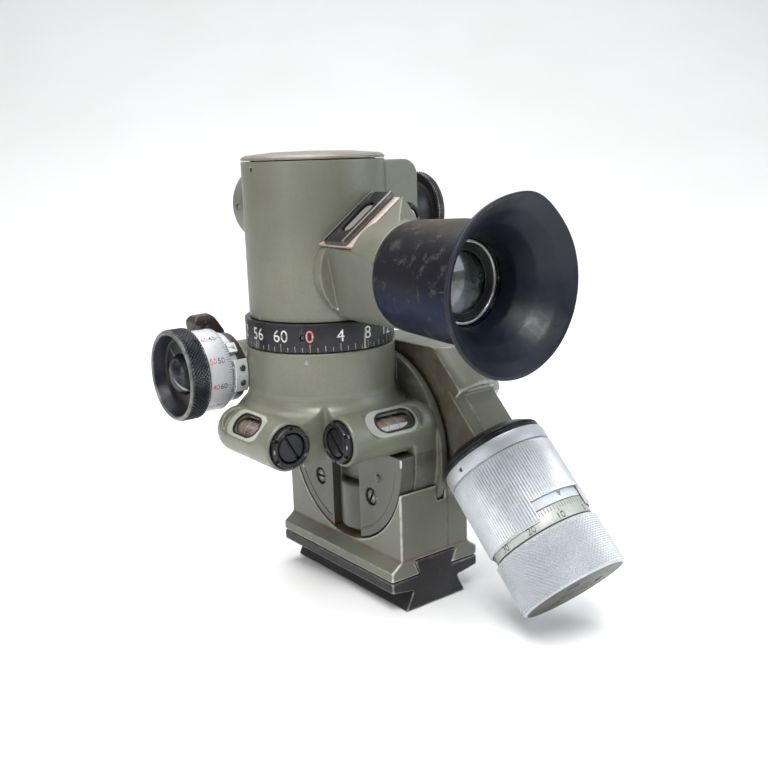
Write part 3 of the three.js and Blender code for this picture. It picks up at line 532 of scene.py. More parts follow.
# Dark olive for the elevation knob's end face: painted shade in place of the knob's satin metal.
finish("knob_end_painted_shade", (0.065, 0.065, 0.054), (0.105, 0.105, 0.09), (0.42, 0.42, 0.40), 0.5, metal=0.3, spots=0.7,
       bump=0.08, gloss=0.3, edge=(0.9, 0.95))
finish("plug", (0.009, 0.009, 0.011), (0.022, 0.022, 0.025), (0.2, 0.19, 0.17), 0.36, metal=0.3,
       edge=(0.9, 0.95), spots=0.68, bump=0.1, coat=0.1, gloss=0.3)
painted("rubbed", (0.20, 0.205, 0.175), (0.33, 0.335, 0.305), spots=0.7)
finish("vial", (0.03, 0.02, 0.014), (0.27, 0.215, 0.175), (0.62, 0.58, 0.54), 0.1, wear_metal=0.0, spots=0.7,
       coat=1.0, bump=0.02, patch=190)


def glass(name, tint, rough, deep):
    """Coated glass seen from outside: a dark depth under a clear, faintly smeared surface."""
    mat, tree, shader = tree_of(name)
    smear = noise(tree, object_coords(tree), 90, 5)
    feed(
        tree, shader, Base_Color=ramp(tree, smear, [(0.35, deep), (0.7, tint)]),
        Roughness=grey_ramp(tree, smear, 0.3, rough, 0.8, rough + 0.1), IOR=1.5, Transmission_Weight=0.55,
        Coat_Weight=0.6, Coat_Roughness=0.05,
    )
    bumped(tree, shader, smear, 0.02, 0.0002)
    return mat


LOOK["glass"] = glass("glass", (0.30, 0.33, 0.35), 0.04, (0.10, 0.12, 0.13))


def milky_lens():
    """Front of the eye lens, painted: dark shade for its depth, and a soft, uneven pale reflection that is
    stronger low down, under a clear coat.
    """
    mat, tree, shader = tree_of("lens_painted_reflection")
    coords = object_coords(tree)
    cloud = noise(tree, coords, 75, 6, 0.62)
    low_down = spread(tree, split_xyz(tree, coords)["Z"], (EYE_Z + 10.4) * MM, (EYE_Z - 10.6) * MM)
    weight = product(tree, cloud, total(tree, low_down, 0.35))
    color = ramp(tree, weight, [
        (0.30, (0.006, 0.010, 0.008)), (0.46, (0.032, 0.042, 0.038)), (0.68, (0.25, 0.28, 0.30)),
    ])
    feed(
        tree, shader, Base_Color=color, Roughness=grey_ramp(tree, cloud, 0.3, 0.1, 0.7, 0.3),
        Coat_Weight=1.0, Coat_Roughness=0.03,
    )
    bumped(tree, shader, cloud, 0.03, 0.0002)
    return mat


LOOK["lens_painted_reflection"] = milky_lens()
finish("mirror", (0.80, 0.82, 0.83), (0.88, 0.9, 0.9), (0.9, 0.9, 0.9), 0.1, metal=1.0, bump=0.01)


def barrel_look():
    """Blued steel: near black, a deep blue band low on the left, brown scuffs on top."""
    mat, tree, shader = tree_of("blued")
    coords = object_coords(tree)
    middle = noise(tree, coords, 240, 7, 0.68)
    height = total(tree, split_xyz(tree, coords)["Z"], product(tree, noise(tree, coords, 70, 5), 0.004))
    band = ramp(tree, spread(tree, height, 0.104, 0.146), [
        (0.0, (0.003, 0.004, 0.005)), (0.16, (0.002, 0.004, 0.009)), (0.27, (0.0005, 0.004, 0.022)),
        (0.38, (0.0005, 0.005, 0.030)), (0.46, (0.003, 0.006, 0.014)), (0.56, (0.009, 0.009, 0.013)),
        (0.86, (0.012, 0.011, 0.012)), (1.0, (0.034, 0.021, 0.015)),
    ])
    color = mixed(tree, grey_ramp(tree, middle, 0.55, 0, 0.63, 0.8), band, (0.045, 0.040, 0.040))
    color = mixed(tree, grey_ramp(tree, pointiness(tree), 0.56, 0, 0.62, 0.7), color, (0.16, 0.155, 0.15))
    feed(
        tree, shader, Base_Color=color, Roughness=grey_ramp(tree, middle, 0.3, 0.3, 0.7, 0.48), Metallic=0.15,
        Specular_IOR_Level=0.14,
    )
    bumped(tree, shader, middle, 0.1)
    return mat


LOOK["blued"] = barrel_look()

SLOT_LOOK = {
    "paint": "paint", "blackened": "dark", "satin": "satin", "steel": "steel", "screws": "screws",
    "bronze": "bronze", "index_white": "white", "rubber": "rubber", "resin": "resin", "glass": "glass",
    "mirror": "mirror",
}
NODE_SLOT = {p["node"]: p["material_slot"] for p in frame["record"]["subparts"]}
NODE_BODY = {name: body for body, names in frame["record"]["behaviour"]["bodies"].items() for name in names}
for name, ob in frame["nodes"].items():
    ob.data.materials.clear()
    ob.data.materials.append(LOOK[SLOT_LOOK[NODE_SLOT[name]]])


def piece(name, ob, body, slot, look=None, replaces=(), place=None, sharp=32):
    """Puts a finished mesh in the frame, in metres, and ties it to its body."""
    if place is not None:
        ob.data.transform(place)
    ob.data.transform(Matrix.Scale(MM, 4))
    ob.name = name
    ob.data.name = name
    for poly in ob.data.polygons:
        poly.use_smooth = True
    if sharp:
        ob.data.set_sharp_from_angle(angle=radians(sharp))
    ob.data.materials.clear()
    ob.data.materials.append(LOOK[look or SLOT_LOOK[slot]])
    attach(ob, body)
    if replaces:
        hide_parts(*replaces)
    return ob


def redo(node_name, ob, look=None, place=SIGHT, sharp=32):
    """Stands in for one CAD node, on that node's body; the node's slot picks the look unless one is given."""
    name = f"{node_name}_look"
    return piece(name, ob, NODE_BODY[node_name], NODE_SLOT[node_name], look, [node_name], place, sharp)


# ---------------------------------------------------------------- marks and figures

CAP_SHARE = 0.7                     # of the built-in face's size that a figure is high
TEXT_STEP = 0.4                     # figures are cut at this pitch, so that they bend round a drum
SUNK = 0.05                         # marks start this far below the surface


def ticks(axis, at, r, marks, height=0.035):
    """Engraved lines filled with paint: each mark is (angle, start, end, width)."""
    verts, faces = [], []
    for angle, s0, s1, width in marks:
        half = width / 2 / r
        n = len(verts)
        for rr in (r - SUNK, r + height):
            for a in (angle - half, angle + half):
                for s in (s0, s1):
                    verts.append(on_axis(axis, at, rr * cos(a), rr * sin(a), s))
        faces += [tuple(n + k for k in f) for f in BOX_FACES]
    return solid(verts, faces)


def flat_text(text, height, bold=0.0):
    """Figures as a thin closed solid in the XY plane, centred, in the built-in face."""
    curve = bpy.data.curves.new("figures", "FONT")
    curve.body = text
    curve.size = height / CAP_SHARE
    curve.align_x = "CENTER"
    curve.align_y = "CENTER"
    curve.resolution_u = 4
    curve.extrude = 0.045
    curve.offset = bold
    ob = linked("figures", curve)
    graph = bpy.context.evaluated_depsgraph_get()
    mesh = bpy.data.meshes.new_from_object(ob.evaluated_get(graph), depsgraph=graph)
    bpy.data.objects.remove(ob)
    bm = bmesh.new()
    bm.from_mesh(mesh)
    bmesh.ops.remove_doubles(bm, verts=bm.verts, dist=1e-5)
    mid = [(min(v.co[k] for v in bm.verts) + max(v.co[k] for v in bm.verts)) / 2 for k in (0, 1)]
    for v in bm.verts:
        v.co.x -= mid[0]
        v.co.y -= mid[1]
    for k, normal in enumerate((Vector((1, 0, 0)), Vector((0, 1, 0)))):
        cuts = int(max(abs(v.co[k]) for v in bm.verts) / TEXT_STEP)
        for c in range(-cuts, cuts + 1):
            geom = list(bm.verts) + list(bm.edges) + list(bm.faces)
            bmesh.ops.bisect_plane(bm, geom=geom, plane_co=normal * (c * TEXT_STEP), plane_no=normal)
    bm.to_mesh(mesh)
    bm.free()
    return linked("figures", mesh)


def wrapped(text, height, axis, at, r, angle, station, x_dir, y_dir, bold=0.0):
    """Figures laid round a drum. x_dir and y_dir say where the text's own directions go:
    'turn' or 'along', with a sign."""
    ob = flat_text(text, height, bold)
    for v in ob.data.vertices:
        turn, along = 0.0, 0.0
        for value, (way, sign) in ((v.co.x, x_dir), (v.co.y, y_dir)):
            if way == "turn":
                turn += sign * value
            else:
                along += sign * value
        rr = r + v.co.z
        a = angle + turn / r
        v.co = on_axis(axis, at, rr * cos(a), rr * sin(a), station + along)
    outward(ob.data)
    return ob


def wedge_mark(axis, at, r, tip, base, half, height=0.04):
    """Black triangle on a drum: tip and base are (angle, station), half is the base's half angle."""
    rows = 6
    verts, faces = [], []
    for rr in (r - SUNK, r + height):
        for k in range(rows + 1):
            t = k / rows
            station = tip[1] + (base[1] - tip[1]) * t
            for side in (-1, 1):
                a = tip[0] + side * half * max(t, 0.04)
                verts.append(on_axis(axis, at, rr * cos(a), rr * sin(a), station))
    n = 2 * (rows + 1)
    for k in range(rows):
        a, b, c, d = 2 * k, 2 * k + 1, 2 * k + 3, 2 * k + 2
        faces += [(a, b, c, d), (n + a, n + d, n + c, n + b), (a, d, n + d, n + a), (b, n + b, n + c, c)]
    faces += [(0, n, n + 1, 1), (n - 2, n - 1, 2 * n - 1, 2 * n - 2)]
    return solid(verts, faces)


# ---------------------------------------------------------------- base


def journal_outline(r, top, y, z=TILT_Z, sides=72):
    pts = [(y + r, top), (y - r, top)]
    for i in range(sides + 1):
        a = pi + pi * i / sides
        pts.append((y + r * cos(a), z + r * sin(a)))
    return pts


def foot_rail(bottom, top, z0, z1):
    return prism(
        "y", [(-bottom / 2, z0), (bottom / 2, z0), (top / 2, z1), (-top / 2, z1)], -HALF_LENGTH, HALF_LENGTH,
    )


plate = prism("y", [
    (-PLATE_HALF, 8.6), (-12.3, 7.3), (12.3, 7.3), (PLATE_HALF, 8.6), (PLATE_HALF, 12.4), (-PLATE_HALF, 12.4),
], -HALF_LENGTH, HALF_LENGTH)
plate = join(plate, foot_rail(28.2, 20.6, 0, 7.5), foot_rail(14.7, 19.6, 12.2, 18.2))
plate = cut(plate, rod("z", (0, -22), 3.4, -1, 20, 48), rod("z", (0, 22), 3.4, -1, 20, 48))
redo("adapter_plate", cast(plate, 0.4, 2), "foot", place=None, sharp=None)

for label, y in (("rear", -22), ("front", 22)):
    screw = cut(
        turned("z", (0, y), [(0, 1.5), (3, 1.5), (3, 17.2), (0, 17.2)], 48),
        box((-0.6, 0.6), (y - 4, y + 4), (0, 2.6)),
    )
    redo(f"adapter_screw_{label}", screw, place=None)


def drum_room():
    return moved(rod("z", (0, 0), 20.5, 27.8, 92, 96), DRUM)


def octagon(w, c):
    return [
        (-w + c, -w), (w - c, -w), (w, -w + c), (w, w - c), (w - c, w), (-w + c, w), (-w, w - c),
        (-w, -w + c),
    ]


block = prism("y", [
    (-PLATE_HALF, 12.7), (PLATE_HALF, 12.7), (PLATE_HALF, 16.3), (BLOCK_HALF, 19.4), (BLOCK_HALF, 44.6),
    (-BLOCK_HALF, 44.6), (-BLOCK_HALF, 19.4), (-PLATE_HALF, 16.3),
], -HALF_LENGTH, HALF_LENGTH)
slide = prism(
    "y", [(-7.65, 11.7), (7.65, 11.7), (7.65, 12.7), (10.1, 18.5), (-10.1, 18.5), (-7.65, 12.7)], -80, 80,
)
cheek = lathe("x", TILT, eased([(0, 6.2), (37.4, 6.2), (37.4, 22.8), (0, 22.8)], 0.8), 160)
web = box((6.2, BLOCK_HALF), (-HALF_LENGTH, HALF_LENGTH), (40.6, 52.6))
lip = ring("x", TILT, 36.9, 39.4, 5.9, 7.2, 160)
lip = cut(
    lip, prism("x", [(-15, 0), (100, 0), (100, 150), (-15, 150)], -20, 30),
    box((-20, 30), (-60, 60), (0, 48.6)),
)
arm = moved(turned("z", (0, 0), [(0, -36), (15, -36), (15, 11.7), (0, 11.7)], 144, 1.2), DRUM)
arm = cut(arm, box((-60, 6.2), (-100, 100), (-20, 150)), box((-60, 60), (-100, 100), (93.6, 150)))
neck = moved(prism("z", octagon(10, 3), 7.7, 27.8), DRUM)
casting = cut(join(block, cheek, web, lip), drum_room())
housing = join(casting, arm, neck)
housing = cut(
    housing, slide, rod("x", TILT, 34.6, -30, 4.9, 160),
    rod("x", TILT, 37, 0.9, 4.9, 160), rod("x", TILT, 31.2, 9.2, 23.8, 96),
    rod("x", TILT, 12.6, -10, 20, 72), moved(rod("z", (0, 0), 6.4, -11.8, 28.8, 48), DRUM),
)
redo("base_housing", cast(housing, 0.45, 3), "paint_base", place=None, sharp=None)

cover = turned("x", (0, 0), [(0, 0), (34.4, 0), (36.4, 1), (36.4, 2), (34.4, 3.4), (0, 3.4)], 160)
cover = moved(cover, shift(23.1, TILT_Y, TILT_Z))
screws = [(TILT_Y + 26, TILT_Z + 20), (TILT_Y + 28, TILT_Z - 16), (TILT_Y - 28, TILT_Z - 16)]
cover = cut(
    cover, moved(rod("z", (0, 0), 15.8, -60, 27.8, 96), DRUM), drum_room(),
    box((0, 60), (-60, 60), (0, 20.4)),
)
for y, z in screws:
    cover = cut(cover, rod("x", (y, z), 2.9, 10, 40, 32))
redo("elevation_gear_cover", cast(cover, 0.4, 2), place=None, sharp=None)
for i, (y, z) in enumerate(screws):
    head = turned("x", (y, z), [(0, 23.4), (2.5, 23.4), (2.5, 25.6), (1.8, 26.2), (0, 26.2)], 48, 0.2)
    head = cut(head, box((25.3, 28), (y - 4, y + 4), (z - 0.4, z + 0.4)))
    redo(f"gear_cover_screw_{i + 1}", head, place=None)

# ---------------------------------------------------------------- elevation drum

flange = turned("z", (0, 0), [
    (7.5, 28.1), (15.5, 28.1), (18.9, 30.6), (18.9, 31.2), (18.4, 31.3), (18.4, 31.5), (19, 31.6), (19, 32.7),
    (7.5, 32.7), (7.5, 28.1),
], 160, 0.18, 2)
redo("drum_flange", flange, place=DRUM)

hub = turned("z", (0, 0), [
    (5, 28.1), (7.2, 28.1), (7.2, 57), (SCALE_R, 57), (SCALE_R, 61.5), (6, 61.5), (6, 58), (5, 58), (5, 28.1),
], 160, 0.15, 2)
redo("drum_hub", hub, place=DRUM)
tip = radians(93.9)
arrow = wedge_mark("z", (0, 0), SCALE_R, (tip, 60.3), (tip, 58.4), radians(3))
piece("elevation_index_mark", arrow, "base", "index_white", "ink", (), DRUM, 0)

sleeve_profile = [
    (8, 33), (18.9, 33), (19.4, 33.15), (19.6, 33.6), (19.6, 37.6), (19.45, 37.95), (19.0, 38.05),
    (19.0, 38.25), (19.5, 38.6),
]
plain_points = len(sleeve_profile)
sleeve_profile += [(19.6, 38.9 + 25.4 * k / 6) for k in range(7)]
rib_points = len(sleeve_profile)
sleeve_profile += [(19.3, 64.75), (19.1, 65), (18.8, 65), (18.8, 35.5), (8, 35.5), (8, 33)]


def rib(i, k):
    if not plain_points <= k < rib_points:
        return 0.25 if k in (plain_points - 1, rib_points) else 0.0
    return (0.0, 0.0, 0.1, 0.3, 0.38, 0.3, 0.1, 0.0)[i % RIB_STEPS]


sleeve = lathe("z", (0, 0), sleeve_profile, RIBS * RIB_STEPS, rib, False)
sleeve = cut(sleeve, prism("z", [(0, 0), (19.7, 34.8), (0, 60), (-24.4, 31.7)], 58, 67))
hole_at = radians(172.7)
hole = moved(rod("x", (0, 0), 0.75, 18.6, 21, 24), shift(0, 0, 35.7) @ spin(hole_at, "Z"))
sleeve = cut(sleeve, hole)
redo("selector_sleeve", sleeve, place=DRUM, sharp=30)

scale = turned(
    "z", (0, 0), [(4.6, 61.8), (SCALE_R, 61.8), (SCALE_R, 67.6), (4.6, 67.6), (4.6, 61.8)], 200, 0.12, 2,
)
redo("elevation_scale", scale, "scale_ring", place=DRUM)
TEN_AT = 104.9                      # degrees round the drum at which the 10 stands
marks = []
for i in range(100):
    angle = radians(TEN_AT + 3.6 * (i - 10))
    length = 2.7 if i % 10 == 0 else (2.2 if i % 5 == 0 else 1.8)
    marks.append((angle, 61.85, 61.85 + length, 0.3))
figures = [ticks("z", (0, 0), SCALE_R, marks)]
for i in range(10):
    angle = radians(TEN_AT + 36 * (i - 1))
    figures.append(
        wrapped(str(i * 10), 2.3, "z", (0, 0), SCALE_R, angle, 66.05, ("turn", -1), ("along", -1), 0.05),
    )
piece("elevation_scale_figures", merged(*figures), "elevation_drive", "satin", "ink", (), DRUM, 0)


def knurled(axis, at, before, band, after, count, depth):
    """Lathe body whose middle band carries a diamond knurl."""
    profile = before + band + after
    first, last = len(before), len(before) + len(band)

    def relief(i, k):
        if not first <= k < last:
            return 0.0
        return depth if (i + k) % 2 else 0.0

    return lathe(axis, at, profile, count, relief)


knurl_rows = 22
band = [(19.5, 68.9 + 17.3 * k / knurl_rows) for k in range(knurl_rows + 1)]
before = [(0, 67.9), (17.6, 67.9), (18.4, 68.1), (19.0, 68.5)]
after = [(19.3, 86.5), (19.0, 86.8), (18.6, 87), (12, 87), (0, 87)]
knob = knurled("z", (0, 0), before, band, after, 164, 0.72)


def end_cuts(ob, groove_from):
    """Three slots and a round groove in the knob's end."""
    for deg in (134, 14, 254):
        way = spin(radians(deg), "Z") @ shift(9.6, 0, 0) @ spin(pi / 2, "Z")
        cut(ob, moved(slot_tool(1.5, 1.0, 84.5, 88, 0, 24), way))
    return cut(ob, ring("z", (0, 0), 5.2, 5.6, groove_from, 88, 96))


redo("elevation_knob", end_cuts(knob, 86.6), place=DRUM, sharp=24)
face = turned("z", (0, 0), [(0, 86.8), (18.3, 86.8), (18.3, 87.06), (0, 87.06)], 160, 0.1, 2)
face = end_cuts(face, 86.9)
# The end face is darkened: painted shade.
piece("elevation_knob_face", face, "elevation_drive", "satin", "knob_end_painted_shade", (), DRUM, 24)

# ---------------------------------------------------------------- sight body


def tube_room():
    return join(rod("z", (0, 0), TUBE_R + 0.3, 100, 180, 160), rod("z", (0, 0), 27.1, 90, 106.6, 160))


def level_housing(axis):
    a, b = LEVEL_ENDS[axis]
    return turned(axis, LEVEL, [(0, a), (8.6, a), (8.6, b - 4), (7.4, b - 1.2), (4.6, b), (0, b)], 96, 1.0)


# half length and middle of each level's pocket, then half length, radius and middle of its window
LEVEL_OPENING = {"y": (5.6, -3.6, 3.4, 3.8, -4), "x": (5.4, 4.55, 4.2, 3.7, 5.8)}


def on_level(axis, ob):
    """Lays a slot, made along X and facing +Z, on a level's housing, where it faces up and outwards."""
    if axis == "y":
        return moved(ob, shift(LEVEL[0], 0, LEVEL[1]) @ spin(pi / 2, "Z") @ spin(-pi / 4, "X"))
    return moved(ob, shift(0, *LEVEL) @ spin(pi / 4, "X"))


def level_pocket(axis):
    half, middle, reach, wide, window = LEVEL_OPENING[axis]
    return on_level(axis, join(slot_tool(half, 6.6, 6.4, 14, middle), slot_tool(reach, wide, 0, 14, window)))


outline = [
    (LEVEL[0], 12), (LEVEL[0], -23), (-22, -22.7), (-14.6, -22.7), (-14.6, LEVEL[0]), (20, LEVEL[0]),
    (24.8, -20), (24.8, 18), (8, 26), (-14, 26),
]
platform = prism("z", outline, 59.4, 74.4)
fillet = both(
    lathe(
        "z", (0, 0),
        [
            (24.6, 73), (33, 73), (33, 74.4), (31, 74.8), (29.6, 75.5), (28.4, 76.5), (27.6, 77.7),
            (27, 79.4), (26.8, 81), (24.6, 81), (24.6, 73),
        ],
        160,
    ),
    prism("z", outline, 60, 85),
)
upper = join(platform, level_housing("y"), level_housing("x"), fillet)
upper = cut(upper, level_pocket("y"), level_pocket("x"))
collar = lathe("z", (0, 0), eased([(0, 62), (26.8, 62), (26.8, 96.2), (0, 96.2)], 0.3), 200)
trunk = prism("x", journal_outline(34, 66, PIVOT_Y), 12.3, 25.5)
disc = rod("x", PIVOT, 36.4, 22.5, 25.5, 160)
worm_case = rod("x", MICRO, 9, -22, 17, 96)
shell = join(upper, collar, trunk, disc, worm_case)
shell = cut(
    shell, rod("y", LEVEL, 5.2, -24, 10, 64), rod("x", LEVEL, 5.2, -15.6, 19.4, 64),
    rod("y", LEVEL, 7.4, -24, -20.6, 64), rod("x", LEVEL, 7.4, -15.6, -12.2, 64),
    rod("z", (0, 0), 21, 79, 98, 96), rod("x", MICRO, 5.4, -40, 13, 48),
    rod("x", PIVOT, 12.9, 25.5, 46, 64), rod("z", (0, 0), 14, 62, 80, 72),
)
redo("sight_body", cast(shell, 0.45, 3), "paint_body", sharp=None)
COLLAR_R = 26.85                    # just outside the collar, for the marks on it
az = radians(-90 - 45)              # where the azimuth is read
index = wedge_mark("z", (0, 0), COLLAR_R, (az, 94.6), (az, 92.4), radians(2.2))
piece("azimuth_index_mark", index, "sight", "paint", "figure", (), SIGHT, 0)
line = ticks("z", (0, 0), COLLAR_R, [(az, 94.7, 95.9, 0.22)])
piece("azimuth_index_line", line, "sight", "paint", "ink", (), SIGHT, 0)

FACE_X = 5.7                        # outer face of the journal cover
plate = prism("x", journal_outline(34, 57.9, PIVOT_Y), FACE_X, FACE_X + 6.3)
channel = box((FACE_X - 1, FACE_X + 4.2), (PIVOT_Y - 9, PIVOT_Y + 8), (15, 70))
boss = both(
    turned(
        "z", (FACE_X + 11.2, PIVOT_Y - 0.6), [(0, 23.1), (11, 23.1), (11, 40.6), (9.8, 41.6), (0, 41.8)], 144,
        0.8,
    ),
    box((FACE_X + 0.2, FACE_X + 5), (-40, 40), (10, 70)),
)
cover = join(cut(plate, channel), boss)
JOURNAL_SCREWS = [(PIVOT_Y - 16.1, 39.7), (PIVOT_Y + 16.1, 39.7)]
for at in JOURNAL_SCREWS:
    cover = cut(cover, rod("x", at, 3.3, FACE_X - 1, FACE_X + 5, 48))
groove = cut(
    rod("x", PIVOT, 31.2, FACE_X - 1, FACE_X + 0.35, 160), rod("x", PIVOT, 30.5, FACE_X - 2, FACE_X + 1, 160),
)
groove = cut(groove, box((0, 20), (PIVOT_Y - 10, PIVOT_Y + 9), (0, 100)), box((0, 20), (-60, 60), (53, 120)))
dot = rod("x", (-24.3, 47.8), 1.3, FACE_X - 0.6, FACE_X + 1, 32, 1.3)
cover = join(cut(cover, groove), dot)
redo("journal_cover", cast(cover, 0.3, 2), "paint_journal_painted_shade", sharp=None)
for i, at in enumerate(JOURNAL_SCREWS):
    low, high = FACE_X + 0.4, FACE_X + 4
    head = turned("x", at, [(0, low), (2.4, low), (3, FACE_X + 0.9), (3, high), (0, high)], 64, 0.2)
    tool = moved(box((FACE_X - 1, FACE_X + 1.3), (-0.5, 0.5), (-4, 4)), shift(0, *at) @ spin(0.5 + i, "X"))
    redo(f"journal_screw_{i + 1}", cut(head, tool))

for side, axis in (("left", "y"), ("cross", "x")):
    a, b = LEVEL_ENDS[axis]
    half, centre, reach, wide, middle = LEVEL_OPENING[axis]
    rim = turned(
        axis, LEVEL,
        [
            (5.3, a - 1.9), (5.8, a - 2.2), (6.7, a - 2.2), (7.1, a - 1.8), (7.1, a + 2), (5.3, a + 2),
            (5.3, a - 1.9),
        ],
        96, 0.15,
    )
    for deg in (30, 90, 150, 210, 270, 330):
        r = radians(deg)
        notch_at = (LEVEL[0] + 6.9 * cos(r), LEVEL[1] + 6.9 * sin(r))
        rim = cut(rim, rod(axis, notch_at, 0.8, a - 3, a - 0.9, 16))
    redo(f"{side}_level_cap", rim)
    plug_body = turned(
        axis, LEVEL, [(0, a - 1.6), (4.5, a - 1.6), (4.9, a - 1.2), (4.9, a + 4), (0, a + 4)], 64, 0.15,
    )
    if axis == "y":
        tool = box((-0.6, 0.6), (a - 3, a - 0.4), (-8, 8))
        tool = moved(tool, shift(LEVEL[0], 0, LEVEL[1]) @ spin(-0.53, "Y"))
    else:
        tool = moved(box((a - 3, a - 0.4), (-0.6, 0.6), (-8, 8)), shift(0, *LEVEL) @ spin(-0.8, "X"))
    redo(f"{side}_level_plug", cut(plug_body, tool), "plug")
    vial = [(0, a + 5), (3.4, a + 5), (4.8, a + 6.4), (4.8, b - 6.4), (3.4, b - 5), (0, b - 5)]
    redo(f"{side}_level_vial", turned(axis, LEVEL, vial, 72, 0.8), "vial")
    floor = cut(slot_tool(half, 5.4, 5.9, 6.5, centre), slot_tool(reach, wide + 0.1, 5, 8, middle))
    floor = bevelled(on_level(axis, floor), 0.1, 2)
    piece(f"{side}_level_pocket_floor", floor, "sight", "paint", "rubbed", (), SIGHT)
    seal = cut(slot_tool(reach, wide + 0.55, 6.0, 6.75, middle), slot_tool(reach, wide - 0.05, 5, 8, middle))
    seal = bevelled(on_level(axis, seal), 0.15, 2)
    piece(f"{side}_level_window_seal", seal, "sight", "blackened", None, (), SIGHT)
    rings = [ring(axis, LEVEL, 4.6, 4.86, s, s + 0.3, 72) for s in (middle - 2.3, middle + 2.0)]
    piece(f"{side}_level_vial_lines", merged(*rings), "sight", "glass", "ink", (), SIGHT)

# ---------------------------------------------------------------- rotating head

wall = [(TUBE_R, 106.6)] + [(TUBE_R, 110.5 + 5 * k) for k in range(10)] + [(TUBE_R, 158.4), (TUBE_R, 159.8)]
tube = turned(
    "z", (0, 0), [(14, 106.6)] + wall + [(22, 159.8), (22, 109.5), (14, 109.5), (14, 106.6)], 200, 0.3,
)
tube = cut(
    tube, rod("y", (0, OBJ_Z), 12.4, 10, 40, 72), rod("y", (0, EYE_Z), 12.4, -40, -10, 72),
    rod("x", (0, KNOB_Z), 6.3, 10, 40, 48), rod("x", (0, 157.2), 0.9, -30, -20, 24),
)
spigot = ring("z", (0, 0), 14, 17, 81, 107, 120)
redo("head_tube", join(tube, spigot))
cap = turned(
    "z", (0, 0),
    [
        (0, 156.8), (21.6, 156.8), (21.6, 160.1), (TUBE_R, 160.1), (TUBE_R, 160.9), (23.6, 161.8),
        (14, 162.7), (0, 163),
    ],
    200, 0.5, 4,
)
redo("head_cap", cap, "paint_cap_painted_reflection")
screw = turned("x", (0, 157.2), [(0, -24.7), (0.7, -24.7), (0.7, -22.4), (0, -22.4)], 24, 0.1)
redo("cap_set_screw", screw)

ring_body = turned(
    "z", (0, 0), [(17.3, 96.6), (RING_R, 96.6), (RING_R, 106.3), (17.3, 106.3), (17.3, 96.6)], 256, 0.35,
)
turn_hole = shift(0, 0, 101.8) @ spin(radians(-90 - 47.4), "Z")
ring_body = cut(ring_body, moved(rod("x", (0, 0), 1, 22.8, 28.8, 24), turn_hole))
redo("azimuth_ring", ring_body)
screw = moved(turned("x", (0, 0), [(0, 23.1), (0.7, 23.1), (0.7, 26.2), (0, 26.2)], 24, 0.1), turn_hole)
redo("ring_set_screw", screw)
whites, reds, marks = [], [], []
for i in range(DIVISIONS):
    angle = radians(-90 - 42 + 360 * i / DIVISIONS)
    marks.append((angle, 96.75, 99.6 if i % 4 == 0 else (98.9 if i % 2 == 0 else 98.4), 0.26))
    if i % 4 == 0:
        figure = wrapped(str(i), 4.2, "z", (0, 0), RING_R, angle, 102.2, ("turn", 1), ("along", 1))
        (reds if i == 0 else whites).append(figure)
whites.append(ticks("z", (0, 0), RING_R, marks))
piece("azimuth_ring_figures", merged(*whites), "head", "blackened", "figure", (), SIGHT, 0)
piece("azimuth_ring_zero", merged(*reds), "head", "blackened", "red", (), SIGHT, 0)

barrel = turned(
    "y", (0, OBJ_Z),
    [(10.8, 18), (14.6, 18), (14.6, 32.2), (14, 33), (12.6, 33), (11.6, 31), (10.8, 31), (10.8, 18)], 160,
    0.3,
)
barrel = cut(barrel, rod("x", (28.6, OBJ_Z - 0.5), 1.2, -18, -11.5, 24))
redo("objective_barrel", barrel)


def lens(at, r, station, bulge, edge):
    pts = []
    for k in range(9):
        t = k / 8
        pts.append((r * t, station - edge - bulge * (1 - t * t)))
    pts += [(q, 2 * station - s) for q, s in reversed(pts)]
    return lathe("y", at, pts, 96)


redo("objective_lens", lens((0, OBJ_Z), 10.5, 26, 1.2, 1.4), sharp=40)
redo(
    "objective_retainer",
    turned("y", (0, OBJ_Z), [(9.3, 28.6), (10.5, 28.6), (10.5, 30.2), (9.3, 30.2), (9.3, 28.6)], 120, 0.2),
)

shoulder = [(20, 126), (37.2, 126)]
for i in range(17):
    a = pi / 2 * i / 16
    shoulder.append((31.2 + 6 * cos(a), 153.2 + 6 * sin(a)))
shoulder.append((20, 159.2))
house = cut(prism("y", shoulder, -12, 12), tube_room())
house = cut(
    join(house, ring("x", (0, KNOB_Z), 4.2, 6, 19, 32, 48)), rod("x", (0, KNOB_Z), 4.2, 0, 60, 48),
    rod("y", INDEX_WINDOW, 5.7, -14, -10.5, 64),
)
redo("head_knob_housing", cast(house, 0.35, 3), sharp=None)
window = turned("y", INDEX_WINDOW, [(0, -12.6), (3.9, -12.6), (3.9, -10.9), (0, -10.9)], 64, 0.3)
redo("index_window", window, "vial")
bezel = turned(
    "y", INDEX_WINDOW, [(4.2, -13.2), (5.4, -13.2), (5.4, -10.9), (4.2, -10.9), (4.2, -13.2)], 72, 0.25,
)
redo("index_window_bezel", bezel)

band = [(14.6, 45.9 + 2.0 * k / 4) for k in range(5)]
before = [
    (0, 14), (3.9, 14), (3.9, 37.5), (10.7, 37.5), (11, 37.8), (11, 45.0), (11.3, 45.2), (13.8, 45.2),
    (14.3, 45.5),
]
after = [(14.2, 48.3), (13.6, 48.7), (12, 48.8), (6, 48.3), (0, 48.2)]
redo("head_knob", knurled("x", (0, KNOB_Z), before, band, after, 160, 0.35), sharp=26)

